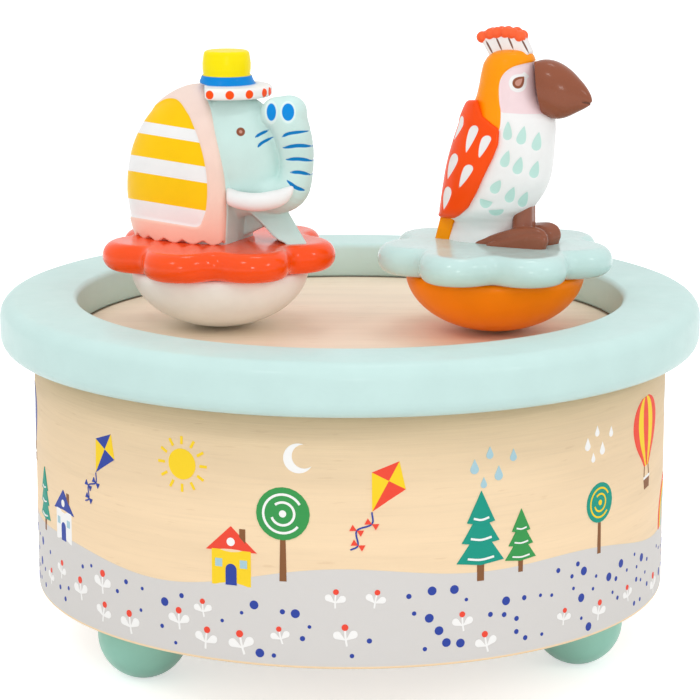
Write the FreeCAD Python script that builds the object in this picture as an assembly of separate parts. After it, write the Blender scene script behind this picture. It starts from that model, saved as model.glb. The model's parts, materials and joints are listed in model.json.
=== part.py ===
import FreeCAD, Part
import math
import os

# Wooden music box with a wind-up movement and two magnetic dancing figures.
# Millimetres, +Z up, origin on the floor below the middle of the box, front towards -Y.

# Clearances
RUNNING_GAP = 0.05
END_GAP = 0.2
FIGURE_GAP = 0.3

# Case
RIM_OUTER_RADIUS = 60.0
RIM_WIDTH = 13.2
RIM_OVERHANG = 5.6
RIM_HEIGHT = 8.7
RIM_SEAT_DEPTH = 2.4
RIM_OUTER_ROUND = 2.8
RIM_INNER_ROUND = 1.0
RIM_SHADOW_CHAMFER = 0.4
WALL_THICKNESS = 3.0
WALL_HEIGHT = 43.7
BOARD_THICKNESS = 3.0
BASE_THICKNESS = 4.0

# Ball feet
FOOT_RADIUS = 7.65
FOOT_HEIGHT = 11.0
FOOT_PAD_RADIUS = 1.75
FOOT_INSET = 11.9
FOOT_NAMES = ("foot_left", "foot_right", "foot_back")
FOOT_FIRST_ANGLE = 215.5

# Screws
FOOT_SCREW_RADIUS = 1.5
FOOT_SCREW_BITE = 5.0
PLATE_SCREW_RADIUS = 1.25
PLATE_SCREW_BITE = 2.0
SCREW_HEAD_RADIUS = 2.6
SCREW_HEAD_HEIGHT = 1.5
SMALL_SCREW_RADIUS = 1.0
SMALL_SCREW_HEAD_RADIUS = 1.9
SMALL_SCREW_HEAD_HEIGHT = 1.1
SMALL_SCREW_BITE = 3.0
BRACKET_SCREW_BITE = 1.5

# Bedplate of the movement
PLATE_THICKNESS = 2.5
PLATE_MARGIN = 1.5
PLATE_WALL_GAP = 1.0
PLATE_CORNER = 3.0
POST_THICKNESS = 2.0
POST_HALF_WIDTH = 2.6
POST_CAP = 3.0
POST_GAP = 0.6

# Winding gear
ARBOR_RADIUS = 2.0
ARBOR_PIVOT_RADIUS = 1.0
ARBOR_PIVOT_LENGTH = 0.8
ARBOR_HOLE_GAP = 3.0
RATCHET_TEETH = 16
RATCHET_RADIUS = 6.0
RATCHET_TOOTH_HEIGHT = 0.9
RATCHET_THICKNESS = 0.8
CLICK_GAP = 0.15
CLICK_LENGTH = 7.0
CLICK_WIDTH = 1.6
CLICK_EYE_RADIUS = 1.6
CLICK_PIN_RADIUS = 0.7
CLICK_ANGLE = 205.0
KEY_HUB_RADIUS = 3.3
KEY_HUB_LENGTH = 7.6
KEY_BASE_GAP = 0.8
KEY_WING_RADIUS = 4.0
KEY_WING_REACH = 7.4
KEY_WING_THICKNESS = 1.8

# Spring barrel with crown teeth
CROWN_MODULE = 0.8
CROWN_TEETH = 36
CROWN_FACE = 2.4
CROWN_MARGIN = 0.2
COVER_THICKNESS = 0.8
BARREL_DEPTH = 4.9
BARREL_WALL = 1.2
BARREL_ROOF = 1.2
FLANGE_THICKNESS = 1.5
BARREL_STEP = 0.6
SPRING_THICKNESS = 0.35
SPRING_PITCH = 1.1
SPRING_SIDE_GAP = 0.1

# Drive to the magnet carrier
DRIVE_RADIUS = 2.0
DRIVE_SEAT = 3.6
BOSS_WALL = 2.0
BOSS_FLOOR = 1.2
CARRIER_GAP = 1.0
CARRIER_FLOOR = 1.0
CARRIER_CUP_WALL = 1.6
CARRIER_ARM_WIDTH = 8.0
CARRIER_HUB_LENGTH = 8.0
MAGNET_RADIUS = 5.0
MAGNET_THICKNESS = 3.0

# Pinned cylinder
PINION_TEETH = 9
SHAFT_RADIUS = 1.0
SHAFT_END = 0.4
DRUM_RADIUS = 6.5
DRUM_SKIN = 0.8
DRUM_END_THICKNESS = 1.2
PIN_RADIUS = 0.22
PIN_HEIGHT = 0.65
PINS_PER_NOTE = 5
NOTE_COUNT = 18
NOTE_MARGIN = 0.45
GOLDEN_TURN = 137.508

# Comb
COMB_TIP_GAP = 0.3
COMB_TOOTH_THICKNESS = 0.6
COMB_SLOT = 0.25
COMB_LONG_TOOTH = 10.0
COMB_SHORT_TOOTH = 6.5
COMB_PLATE_DEPTH = 8.0
COMB_PLATE_THICKNESS = 1.8
COMB_BAR_ARCH = 5.0

# Governor train
TRAIN_MODULE = 0.5
CYLINDER_GEAR_TEETH = 36
IDLER_PINION_TEETH = 9
IDLER_WHEEL_TEETH = 20
IDLER_DROP_ANGLE = 30.0
GEAR_WIDTH = 1.8
WHEEL_WIDTH = 1.2
WHEEL_SPACING = 1.2
IDLER_SHAFT_RADIUS = 0.6
IDLER_HUB_RADIUS = 1.6
WORM_PITCH_RADIUS = 1.7
WORM_HALF_LENGTH = 3.2
WORM_SHAFT_RADIUS = 0.8
PIVOT_RADIUS = 0.5
PIVOT_LENGTH = 0.8
FAN_RADIUS = 5.5
FAN_HEIGHT = 6.0
FAN_HUB_RADIUS = 1.5
FAN_BLADE = 0.5
FAN_SPACING = 1.0
FAN_WALL_GAP = 2.467
BRACKET_THICKNESS = 1.4
BRACKET_BASE = 1.0
BRACKET_SIDE_GAP = 1.0
CHEEK_HALF_WIDTH = 2.2

# Gear tooth form, in modules and in shares of the pitch
TOOTH_ADDENDUM = 0.8
TOOTH_DEDENDUM = 1.1
TOOTH_TIP_SHARE = 0.2
TOOTH_PITCH_SHARE = 0.38
TOOTH_ROOT_SHARE = 0.54

# Figures, standing on domes and flower plinths
ELEPHANT_PLACE = (-22.4, 0.5)
PARROT_PLACE = (24.8, -3.4)
DOME_RADIUS = 15.3
DOME_HEIGHT = 10.3
DOME_SKIN = 0.9
FIGURE_MAGNET_RADIUS = 4.5
FIGURE_MAGNET_THICKNESS = 3.0
FLOWER_LOBES = 7
FLOWER_LOBE_RADIUS = 6.3
FLOWER_LOBE_CIRCLE = 14.0
FLOWER_CORE_RADIUS = 16.6
FLOWER_THICKNESS = 4.6
ELEPHANT_FLOWER_TURN = -64.3
PARROT_FLOWER_TURN = -68.8

# Which way the figures face at rest, in degrees from the right towards the viewer
ELEPHANT_TURN = 25.0
PARROT_TURN = 25.0

# Elephant: x ahead of its spin axis, height above its plinth
BLANKET_SECTIONS = (
    (-3.3, 12.8, 0.0),
    (-3.3, 13.4, 2.0),
    (-3.3, 14.4, 8.0),
    (-3.3, 13.4, 15.0),
    (-3.3, 11.8, 18.6),
    (-3.3, 8.0, 23.3),
    (-3.3, 5.0, 25.3),
    (-3.3, 1.9, 26.4),
)
BLANKET_SLIMNESS = 0.58
BLANKET_FRONT = ((3.6, -1.0), (4.4, 8.0), (3.5, 15.0), (2.4, 18.6), (0.2, 23.1), (-1.0, 24.5), (-2.7, 27.0))
BLANKET_THICKNESS = 2.4
HEAD_CENTRE = (3.2, -0.3, 15.0)
HEAD_RADII = (8.2, 5.9, 10.4)
TRUNK_ROOT = (10.3, 8.2)
TRUNK_BEND = (14.2, 14.8)
TRUNK_TIP = (12.4, 21.4)
TRUNK_RADIUS = 3.3
TRUNK_TIP_RADIUS = 3.5
TRUNK_SIDE = -1.0
STEP_LEG = ((7.6, 6.8), (13.8, 6.8), (14.2, 4.8), (16.4, 0.0), (13.2, 0.0), (9.2, 4.0))
STEP_LEG_SIDES = (-4.8, -0.6)
STANDING_LEG = ((0.4, 9.0), (4.8, 9.0), (4.8, 0.0), (0.4, 0.0))
STANDING_LEG_SIDES = (1.0, 6.0)
TUSK_BACK = (4.2, 9.2)
TUSK_LOW = (9.7, 7.0)
TUSK_FRONT = (14.6, 9.6)
TUSK_RADIUS = 1.4
TUSK_SIDE = 5.0
HAT_PLACE = 1.75
HAT_SEAT = 24.1
BRIM_RADIUS = 7.3
BRIM_THICKNESS = 2.7
BRIM_ROUND = 1.2
BAND_RADIUS = 4.7
BAND_HEIGHT = 1.1
CROWN_RADIUS = 4.05
CROWN_TOP_RADIUS = 3.7
CROWN_HEIGHT = 4.7
CROWN_ROUND = 0.7

# Parrot: x ahead of its spin axis, height above its plinth
PARROT_SECTIONS = (
    (-3.3, 4.2, 0.0),
    (-3.3, 5.4, 2.8),
    (-1.5, 7.1, 5.3),
    (0.2, 8.5, 8.8),
    (1.5, 8.6, 13.8),
    (2.2, 8.1, 18.8),
    (2.5, 6.3, 22.8),
    (2.2, 5.2, 26.8),
    (2.1, 4.6, 29.8),
    (2.4, 2.6, 32.0),
    (2.5, 1.2, 32.6),
)
WING_SWELL = 0.8
WING_SHIFT = -0.25
WING_OUTLINE = ((-1.9, 25.0), (4.0, 19.8), (2.6, 14.0), (-2.3, 6.5), (-7.9, 3.7))
WING_BACK = -14.0
TAIL_OUTLINE = ((-10.9, 0.0), (-8.5, 0.0), (-7.3, 4.4), (-9.9, 4.4))
TAIL_HALF_WIDTH = 1.7
BEAK_SECTIONS = (
    (4.4, 26.9, 4.0),
    (6.9, 26.9, 4.4),
    (9.5, 26.4, 4.8),
    (12.4, 25.7, 4.0),
    (15.0, 24.8, 2.5),
    (16.7, 24.2, 1.1),
    (17.6, 23.9, 0.3),
)
BEAK_SLIMNESS = 0.78
CREST_BASE = ((-1.0, 31.0), (6.5, 31.0))
CREST_TOP = ((5.1, 35.3), (-2.5, 35.1))
CREST_HALF_WIDTH = 1.0
PLUME_RADIUS = 1.25
PLUME_COUNT = 5
PLUME_FIRST = (-2.2, 34.8)
PLUME_MIDDLE = (1.0, 35.75)
PLUME_LAST = (4.1, 34.9)
LEG_PLACE = 5.9
LEG_RADIUS = 1.9
LEG_TOP = 7.5
LEG_SIDE = 2.05
SHOE_SECTIONS = ((-3.6, 0.3), (-1.0, 0.9), (2.5, 1.7), (5.5, 2.2), (8.2, 2.0), (10.0, 1.3), (11.0, 0.4))
SHOE_SLIMNESS = 0.85

# Radii of the case, all from the rim's
RIM_INNER_RADIUS = RIM_OUTER_RADIUS - RIM_WIDTH
WALL_RADIUS = RIM_OUTER_RADIUS - RIM_OVERHANG
WALL_INNER_RADIUS = WALL_RADIUS - WALL_THICKNESS
FOOT_CIRCLE_RADIUS = WALL_RADIUS - FOOT_INSET

# Heights of the case
WALL_TOP = FOOT_HEIGHT + WALL_HEIGHT
BASE_TOP = FOOT_HEIGHT + BASE_THICKNESS
BOARD_BOTTOM = WALL_TOP - BOARD_THICKNESS
RIM_BOTTOM = WALL_TOP - RIM_SEAT_DEPTH
RIM_TOP = RIM_BOTTOM + RIM_HEIGHT

# Heights of the movement, from the base board up
PLATE_TOP = BASE_TOP + PLATE_THICKNESS
RATCHET_BOTTOM = PLATE_TOP + END_GAP
RATCHET_TOP = RATCHET_BOTTOM + RATCHET_THICKNESS
COVER_BOTTOM = RATCHET_TOP + END_GAP
COVER_TOP = COVER_BOTTOM + COVER_THICKNESS
BARREL_CEILING = COVER_TOP + BARREL_DEPTH
BARREL_TOP = BARREL_CEILING + BARREL_ROOF
CROWN_PITCH_HEIGHT = BARREL_TOP + TOOTH_DEDENDUM * CROWN_MODULE
CROWN_PITCH_RADIUS = CROWN_MODULE * CROWN_TEETH / 2
CROWN_INNER_RADIUS = CROWN_PITCH_RADIUS - CROWN_FACE / 2
CROWN_OUTER_RADIUS = CROWN_PITCH_RADIUS + CROWN_FACE / 2
FLANGE_RADIUS = CROWN_OUTER_RADIUS + CROWN_MARGIN
BARREL_RADIUS = CROWN_INNER_RADIUS - BARREL_STEP
BARREL_INNER_RADIUS = BARREL_RADIUS - BARREL_WALL
AXIS_HEIGHT = CROWN_PITCH_HEIGHT + CROWN_MODULE * PINION_TEETH / 2

# Places of the governor train, whose fan stands just inside the wall
IDLER_DISTANCE = TRAIN_MODULE * (CYLINDER_GEAR_TEETH + IDLER_PINION_TEETH) / 2
IDLER_Y = -IDLER_DISTANCE * math.cos(math.radians(IDLER_DROP_ANGLE))
IDLER_HEIGHT = AXIS_HEIGHT - IDLER_DISTANCE * math.sin(math.radians(IDLER_DROP_ANGLE))
WHEEL_PITCH_RADIUS = TRAIN_MODULE * IDLER_WHEEL_TEETH / 2
WHEEL_TIP_RADIUS = WHEEL_PITCH_RADIUS + TOOTH_ADDENDUM * TRAIN_MODULE
WORM_Y = IDLER_Y - WHEEL_PITCH_RADIUS - WORM_PITCH_RADIUS
WORM_X = math.sqrt((WALL_INNER_RADIUS - FAN_WALL_GAP - FAN_RADIUS) ** 2 - WORM_Y**2)
WHEEL_START = WORM_X - WHEEL_WIDTH / 2
WHEEL_END = WORM_X + WHEEL_WIDTH / 2
FAN_BOTTOM = IDLER_HEIGHT + WHEEL_TIP_RADIUS + FAN_SPACING
FAN_TOP = FAN_BOTTOM + FAN_HEIGHT
ARM_BOTTOM = FAN_TOP + FAN_SPACING
BRACKET_BASE_TOP = PLATE_TOP + BRACKET_BASE

# Places along the cylinder's shaft, between the barrel and the governor train
INNER_POST = FLANGE_RADIUS + POST_GAP
DRUM_START = INNER_POST + POST_THICKNESS + END_GAP
GEAR_END = WHEEL_START - WHEEL_SPACING
DRUM_END = GEAR_END - GEAR_WIDTH
DRUM_LENGTH = DRUM_END - DRUM_START
OUTER_POST = GEAR_END + POST_GAP
SHAFT_START = CROWN_INNER_RADIUS - SHAFT_END
SHAFT_STOP = OUTER_POST + POST_THICKNESS + SHAFT_END
INNER_CHEEK = DRUM_END - BRACKET_SIDE_GAP - BRACKET_THICKNESS
OUTER_CHEEK = WHEEL_END + BRACKET_SIDE_GAP

# Places of the comb
COMB_TIP_Y = DRUM_RADIUS + PIN_HEIGHT + COMB_TIP_GAP
COMB_ROOT_Y = COMB_TIP_Y + COMB_LONG_TOOTH
COMB_BACK_Y = COMB_ROOT_Y + COMB_PLATE_DEPTH
COMB_BOTTOM = AXIS_HEIGHT - COMB_TOOTH_THICKNESS / 2
COMB_PLATE_TOP = COMB_BOTTOM + COMB_PLATE_THICKNESS
NOTE_PITCH = (DRUM_LENGTH - 2 * NOTE_MARGIN) / NOTE_COUNT

# Heights of the drive and the figures
CARRIER_TOP = BOARD_BOTTOM - CARRIER_GAP
CARRIER_BOTTOM = CARRIER_TOP - MAGNET_THICKNESS - CARRIER_FLOOR
BOSS_TOP = BARREL_TOP + BOSS_FLOOR + DRIVE_SEAT
DOME_BOTTOM = WALL_TOP + FIGURE_GAP
DOME_TOP = DOME_BOTTOM + DOME_HEIGHT
PLINTH_TOP = DOME_TOP + FLOWER_THICKNESS

V = FreeCAD.Vector
UP = V(0, 0, 1)
RIGHT = V(1, 0, 0)
BACK = V(0, 1, 0)


def cylinder(radius, low, high, x=0.0, y=0.0):
    return Part.makeCylinder(radius, high - low, V(x, y, low))


def cylinder_along_x(radius, start, stop, y, z):
    return Part.makeCylinder(radius, stop - start, V(start, y, z), RIGHT)


def box(x_range, y_range, z_range):
    corner = V(x_range[0], y_range[0], z_range[0])
    sizes = [side[1] - side[0] for side in (x_range, y_range, z_range)]
    return Part.makeBox(*sizes, corner)


def fused(shapes):
    return shapes[0].multiFuse(list(shapes[1:])).removeSplitter()


def polygon_face(points):
    return Part.Face(Part.makePolygon(list(points) + [points[0]]))


def rounded_face(corners, to_point):
    """A face whose corners (u, v, radius) are rounded, placed by to_point(u, v)."""
    arcs = []
    for index, (u, v, radius) in enumerate(corners):
        before = corners[index - 1]
        after = corners[(index + 1) % len(corners)]
        corner = to_point(u, v)
        if radius == 0:
            arcs.append((corner, None, corner))
            continue
        back = (to_point(before[0], before[1]) - corner).normalize()
        ahead = (to_point(after[0], after[1]) - corner).normalize()
        half = back.getAngle(ahead) / 2
        reach = radius / math.tan(half)
        inward = (back + ahead).normalize()
        middle = corner + inward * (radius / math.sin(half) - radius)
        arcs.append((corner + back * reach, middle, corner + ahead * reach))
    edges = []
    for index, (start, middle, end) in enumerate(arcs):
        if middle is not None:
            edges.append(Part.Arc(start, middle, end).toShape())
        following = arcs[(index + 1) % len(arcs)][0]
        if end.distanceToPoint(following) > 1e-7:
            edges.append(Part.makeLine(end, following))
    return Part.Face(Part.Wire(edges))


def in_section(u, v):
    return V(u, 0, v)


def in_plan(u, v):
    return V(u, v, 0)


def turned(corners, x=0.0, y=0.0):
    """A solid of revolution about a vertical axis from a rounded section (radius, height, round)."""
    solid = rounded_face(corners, in_section).revolve(V(0, 0, 0), UP, 360)
    solid.translate(V(x, y, 0))
    return solid


def stretched(solid, shares):
    """A solid scaled about the origin by its share along each axis."""
    matrix = FreeCAD.Matrix()
    matrix.scale(*shares)
    return solid.transformGeometry(matrix)


def ball(radius, centre):
    """A ball with its poles to the sides and its seam on top, clear of what joins it."""
    solid = Part.makeSphere(radius)
    solid.rotate(V(0, 0, 0), RIGHT, 90)
    solid.rotate(V(0, 0, 0), BACK, -90)
    solid.translate(centre)
    return solid


def ellipsoid(centre, radii):
    solid = stretched(ball(1.0, V(0, 0, 0)), radii)
    solid.translate(V(*centre))
    return solid


def loft(wires):
    return Part.makeLoft(wires, True, False)


def circle_wire(radius, centre, normal):
    return Part.Wire(Part.makeCircle(radius, centre, normal))


def save(name, shape):
    shape.exportStep(f"parts/{name}.step")


def laid_along_x(shape, start, y, z):
    """Moves a shape built round the Z axis onto an axis along +X that starts at (start, y, z)."""
    shape.rotate(V(0, 0, 0), BACK, 90)
    shape.translate(V(start, y, z))
    return shape


def gear_face(teeth, module, tooth_angle):
    """A flat-flanked gear outline round the Z axis, with a tooth centred on tooth_angle in degrees."""
    pitch_radius = module * teeth / 2
    levels = (
        (pitch_radius - TOOTH_DEDENDUM * module, TOOTH_ROOT_SHARE),
        (pitch_radius, TOOTH_PITCH_SHARE),
        (pitch_radius + TOOTH_ADDENDUM * module, TOOTH_TIP_SHARE),
    )
    pitch = math.pi * module
    points = []
    for tooth in range(teeth):
        middle = math.radians(tooth_angle) + 2 * math.pi * tooth / teeth
        flank = [(radius, -share * pitch / 2 / radius) for radius, share in levels]
        for radius, lean in flank + [(r, -a) for r, a in reversed(flank)]:
            points.append(V(radius * math.cos(middle + lean), radius * math.sin(middle + lean), 0))
    return polygon_face(points)


def gear(teeth, module, tooth_angle, width, bore):
    face = gear_face(teeth, module, tooth_angle)
    return face.extrude(UP * width).cut(cylinder(bore, 0, width))


def foot_places():
    for index, name in enumerate(FOOT_NAMES):
        angle = math.radians(FOOT_FIRST_ANGLE + 360 * index / len(FOOT_NAMES))
        yield name, FOOT_CIRCLE_RADIUS * math.cos(angle), FOOT_CIRCLE_RADIUS * math.sin(angle)


def plate_screw_places():
    left = -CROWN_PITCH_RADIUS * math.cos(math.pi / 4)
    return ((left, left), (left, -left), (SHAFT_STOP, POST_HALF_WIDTH + 2 * SCREW_HEAD_RADIUS))


def comb_screw_places():
    y = COMB_ROOT_Y + COMB_PLATE_DEPTH / 2
    inset = DRUM_LENGTH / 5
    return ((DRUM_START + inset, y), (DRUM_END - inset, y))


def bracket_screw_place():
    return INNER_CHEEK + BRACKET_THICKNESS, WORM_Y


# Case


def make_rim():
    corners = (
        (RIM_INNER_RADIUS + RIM_SHADOW_CHAMFER, WALL_TOP, 0),
        (WALL_RADIUS, WALL_TOP, 0),
        (WALL_RADIUS, RIM_BOTTOM, 0),
        (RIM_OUTER_RADIUS, RIM_BOTTOM, RIM_OUTER_ROUND),
        (RIM_OUTER_RADIUS, RIM_TOP, RIM_OUTER_ROUND),
        (RIM_INNER_RADIUS, RIM_TOP, RIM_INNER_ROUND),
        (RIM_INNER_RADIUS, WALL_TOP + RIM_SHADOW_CHAMFER, 0),
    )
    return turned(corners)


def make_wall():
    return cylinder(WALL_RADIUS, FOOT_HEIGHT, WALL_TOP).cut(cylinder(WALL_INNER_RADIUS, FOOT_HEIGHT, WALL_TOP))


def make_base_board():
    board = cylinder(WALL_INNER_RADIUS, FOOT_HEIGHT, BASE_TOP)
    cuts = [cylinder(ARBOR_RADIUS + ARBOR_HOLE_GAP, FOOT_HEIGHT, BASE_TOP)]
    for _, x, y in foot_places():
        cuts.append(cylinder(FOOT_SCREW_RADIUS, FOOT_HEIGHT, BASE_TOP, x, y))
        cuts.append(cylinder(SCREW_HEAD_RADIUS, BASE_TOP - SCREW_HEAD_HEIGHT, BASE_TOP, x, y))
    for x, y in plate_screw_places():
        cuts.append(cylinder(PLATE_SCREW_RADIUS, FOOT_HEIGHT, BASE_TOP, x, y))
        cuts.append(cylinder(SCREW_HEAD_RADIUS, FOOT_HEIGHT, FOOT_HEIGHT + SCREW_HEAD_HEIGHT, x, y))
    return board.cut(Part.makeCompound(cuts))


def make_foot(x, y):
    centre_height = math.sqrt(FOOT_RADIUS**2 - FOOT_PAD_RADIUS**2)
    ball = Part.makeSphere(FOOT_RADIUS, V(x, y, centre_height))
    foot = ball.common(cylinder(FOOT_RADIUS, 0, FOOT_HEIGHT, x, y))
    return foot.cut(cylinder(FOOT_SCREW_RADIUS, FOOT_HEIGHT - FOOT_SCREW_BITE, FOOT_HEIGHT, x, y))


def make_foot_screws():
    screws = []
    for _, x, y in foot_places():
        shank = cylinder(FOOT_SCREW_RADIUS, FOOT_HEIGHT - FOOT_SCREW_BITE, BASE_TOP, x, y)
        head = cylinder(SCREW_HEAD_RADIUS, BASE_TOP - SCREW_HEAD_HEIGHT, BASE_TOP, x, y)
        screws.append(fused([shank, head]))
    return Part.makeCompound(screws)


def make_movement_screws():
    screws = []
    for x, y in plate_screw_places():
        shank = cylinder(PLATE_SCREW_RADIUS, FOOT_HEIGHT, BASE_TOP + PLATE_SCREW_BITE, x, y)
        head = cylinder(SCREW_HEAD_RADIUS, FOOT_HEIGHT, FOOT_HEIGHT + SCREW_HEAD_HEIGHT, x, y)
        screws.append(fused([shank, head]))
    return Part.makeCompound(screws)


# Movement frame


def click_pin_place():
    angle = math.radians(CLICK_ANGLE)
    reach = RATCHET_RADIUS + CLICK_GAP + CLICK_WIDTH / 2
    along = V(-math.sin(angle), math.cos(angle), 0)
    return V(math.cos(angle), math.sin(angle), 0) * reach - along * CLICK_LENGTH


def make_bedplate():
    left = -FLANGE_RADIUS - PLATE_MARGIN
    right = OUTER_CHEEK + BRACKET_THICKNESS + PLATE_MARGIN
    front = WORM_Y - CHEEK_HALF_WIDTH - PLATE_MARGIN
    back = COMB_BACK_Y + PLATE_MARGIN
    corners = (
        (left, -FLANGE_RADIUS, PLATE_CORNER),
        (INNER_POST, front, PLATE_CORNER),
        (right, front, PLATE_CORNER),
        (right, POST_HALF_WIDTH + PLATE_MARGIN + 3 * SCREW_HEAD_RADIUS, PLATE_CORNER),
        (DRUM_END + PLATE_MARGIN, back, PLATE_CORNER),
        (DRUM_START - PLATE_MARGIN, back, PLATE_CORNER),
        (left, FLANGE_RADIUS, PLATE_CORNER),
    )
    plate = rounded_face(corners, in_plan).extrude(UP * PLATE_THICKNESS)
    plate.translate(UP * BASE_TOP)
    plate = plate.common(cylinder(WALL_INNER_RADIUS - PLATE_WALL_GAP, BASE_TOP, PLATE_TOP))
    post_sides = (-POST_HALF_WIDTH, POST_HALF_WIDTH)
    post_heights = (PLATE_TOP, AXIS_HEIGHT + POST_CAP)
    inner_post = box((INNER_POST, INNER_POST + POST_THICKNESS), post_sides, post_heights)
    outer_post = box((OUTER_POST, OUTER_POST + POST_THICKNESS), post_sides, post_heights)
    bar = box((DRUM_START, DRUM_END), (COMB_ROOT_Y, COMB_BACK_Y), (PLATE_TOP, COMB_BOTTOM))
    arch = box(
        (DRUM_START + COMB_BAR_ARCH, DRUM_END - COMB_BAR_ARCH),
        (COMB_ROOT_Y, COMB_BACK_Y),
        (PLATE_TOP, COMB_BOTTOM - COMB_BAR_ARCH),
    )
    pin = click_pin_place()
    click_pin = cylinder(CLICK_PIN_RADIUS, PLATE_TOP, RATCHET_TOP, pin.x, pin.y)
    holes = [
        cylinder(ARBOR_RADIUS + RUNNING_GAP, BASE_TOP, PLATE_TOP),
        cylinder_along_x(SHAFT_RADIUS + RUNNING_GAP, INNER_POST, SHAFT_STOP, 0, AXIS_HEIGHT),
    ]
    for x, y in plate_screw_places():
        holes.append(cylinder(PLATE_SCREW_RADIUS, BASE_TOP, BASE_TOP + PLATE_SCREW_BITE, x, y))
    for x, y in comb_screw_places():
        holes.append(cylinder(SMALL_SCREW_RADIUS, COMB_BOTTOM - SMALL_SCREW_BITE, COMB_BOTTOM, x, y))
    x, y = bracket_screw_place()
    holes.append(cylinder(SMALL_SCREW_RADIUS, PLATE_TOP - BRACKET_SCREW_BITE, PLATE_TOP, x, y))
    return fused([plate, inner_post, outer_post, bar.cut(arch), click_pin]).cut(Part.makeCompound(holes))


def make_comb():
    teeth = box((DRUM_START + NOTE_MARGIN, DRUM_END - NOTE_MARGIN), (COMB_TIP_Y, COMB_ROOT_Y),
                (COMB_BOTTOM, COMB_BOTTOM + COMB_TOOTH_THICKNESS))
    plate = box((DRUM_START, DRUM_END), (COMB_ROOT_Y, COMB_BACK_Y), (COMB_BOTTOM, COMB_PLATE_TOP))
    cuts = []
    for note in range(1, NOTE_COUNT):
        middle = DRUM_START + NOTE_MARGIN + note * NOTE_PITCH
        share = note / NOTE_COUNT
        length = COMB_LONG_TOOTH + (COMB_SHORT_TOOTH - COMB_LONG_TOOTH) * share
        cuts.append(
            box(
                (middle - COMB_SLOT / 2, middle + COMB_SLOT / 2),
                (COMB_TIP_Y, COMB_TIP_Y + length),
                (COMB_BOTTOM, COMB_BOTTOM + COMB_TOOTH_THICKNESS),
            )
        )
    for x, y in comb_screw_places():
        cuts.append(cylinder(SMALL_SCREW_RADIUS, COMB_BOTTOM, COMB_PLATE_TOP, x, y))
    return fused([teeth, plate]).cut(Part.makeCompound(cuts))


def small_screw(x, y, seat, length):
    shank = cylinder(SMALL_SCREW_RADIUS, seat - length, seat, x, y)
    head = cylinder(SMALL_SCREW_HEAD_RADIUS, seat, seat + SMALL_SCREW_HEAD_HEIGHT, x, y)
    return fused([shank, head])


def make_comb_screws():
    length = COMB_PLATE_THICKNESS + SMALL_SCREW_BITE
    return Part.makeCompound([small_screw(x, y, COMB_PLATE_TOP, length) for x, y in comb_screw_places()])


# Winding gear


def make_arbor():
    bottom = FOOT_HEIGHT - KEY_BASE_GAP - KEY_HUB_LENGTH
    stem = cylinder(ARBOR_RADIUS, bottom, BARREL_CEILING - END_GAP)
    pivot = cylinder(ARBOR_PIVOT_RADIUS, bottom, BARREL_CEILING + ARBOR_PIVOT_LENGTH)
    return fused([stem, pivot])


def make_key():
    top = FOOT_HEIGHT - KEY_BASE_GAP
    bottom = top - KEY_HUB_LENGTH
    middle = (top + bottom) / 2
    hub = cylinder(KEY_HUB_RADIUS, bottom, top)
    half = KEY_WING_THICKNESS / 2
    pieces = [hub, box((-KEY_WING_REACH, KEY_WING_REACH), (-half, half),
                       (middle - KEY_HUB_RADIUS / 2, middle + KEY_HUB_RADIUS / 2))]
    for side in (-1, 1):
        start = V(side * KEY_WING_REACH, -half, middle)
        pieces.append(Part.makeCylinder(KEY_WING_RADIUS, KEY_WING_THICKNESS, start, BACK))
    return fused(pieces).cut(cylinder(ARBOR_RADIUS, bottom, top))


def make_ratchet():
    points = []
    for tooth in range(RATCHET_TEETH):
        angle = 2 * math.pi * tooth / RATCHET_TEETH
        for radius in (RATCHET_RADIUS - RATCHET_TOOTH_HEIGHT, RATCHET_RADIUS):
            points.append(V(radius * math.cos(angle), radius * math.sin(angle), RATCHET_BOTTOM))
    wheel = polygon_face(points).extrude(UP * RATCHET_THICKNESS)
    return wheel.cut(cylinder(ARBOR_RADIUS, RATCHET_BOTTOM, RATCHET_TOP))


def make_click():
    pin = click_pin_place()
    angle = math.radians(CLICK_ANGLE)
    outward = V(math.cos(angle), math.sin(angle), 0)
    along = V(-math.sin(angle), math.cos(angle), 0)
    half = CLICK_WIDTH / 2
    corners = (pin - outward * half, pin + along * CLICK_LENGTH - outward * half, pin + outward * half)
    lever = polygon_face([V(p.x, p.y, RATCHET_BOTTOM) for p in corners]).extrude(UP * RATCHET_THICKNESS)
    eye = cylinder(CLICK_EYE_RADIUS, RATCHET_BOTTOM, RATCHET_TOP, pin.x, pin.y)
    hole = cylinder(CLICK_PIN_RADIUS + RUNNING_GAP, RATCHET_BOTTOM, RATCHET_TOP, pin.x, pin.y)
    return fused([lever, eye]).cut(hole)


# Spring barrel and drive


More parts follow.
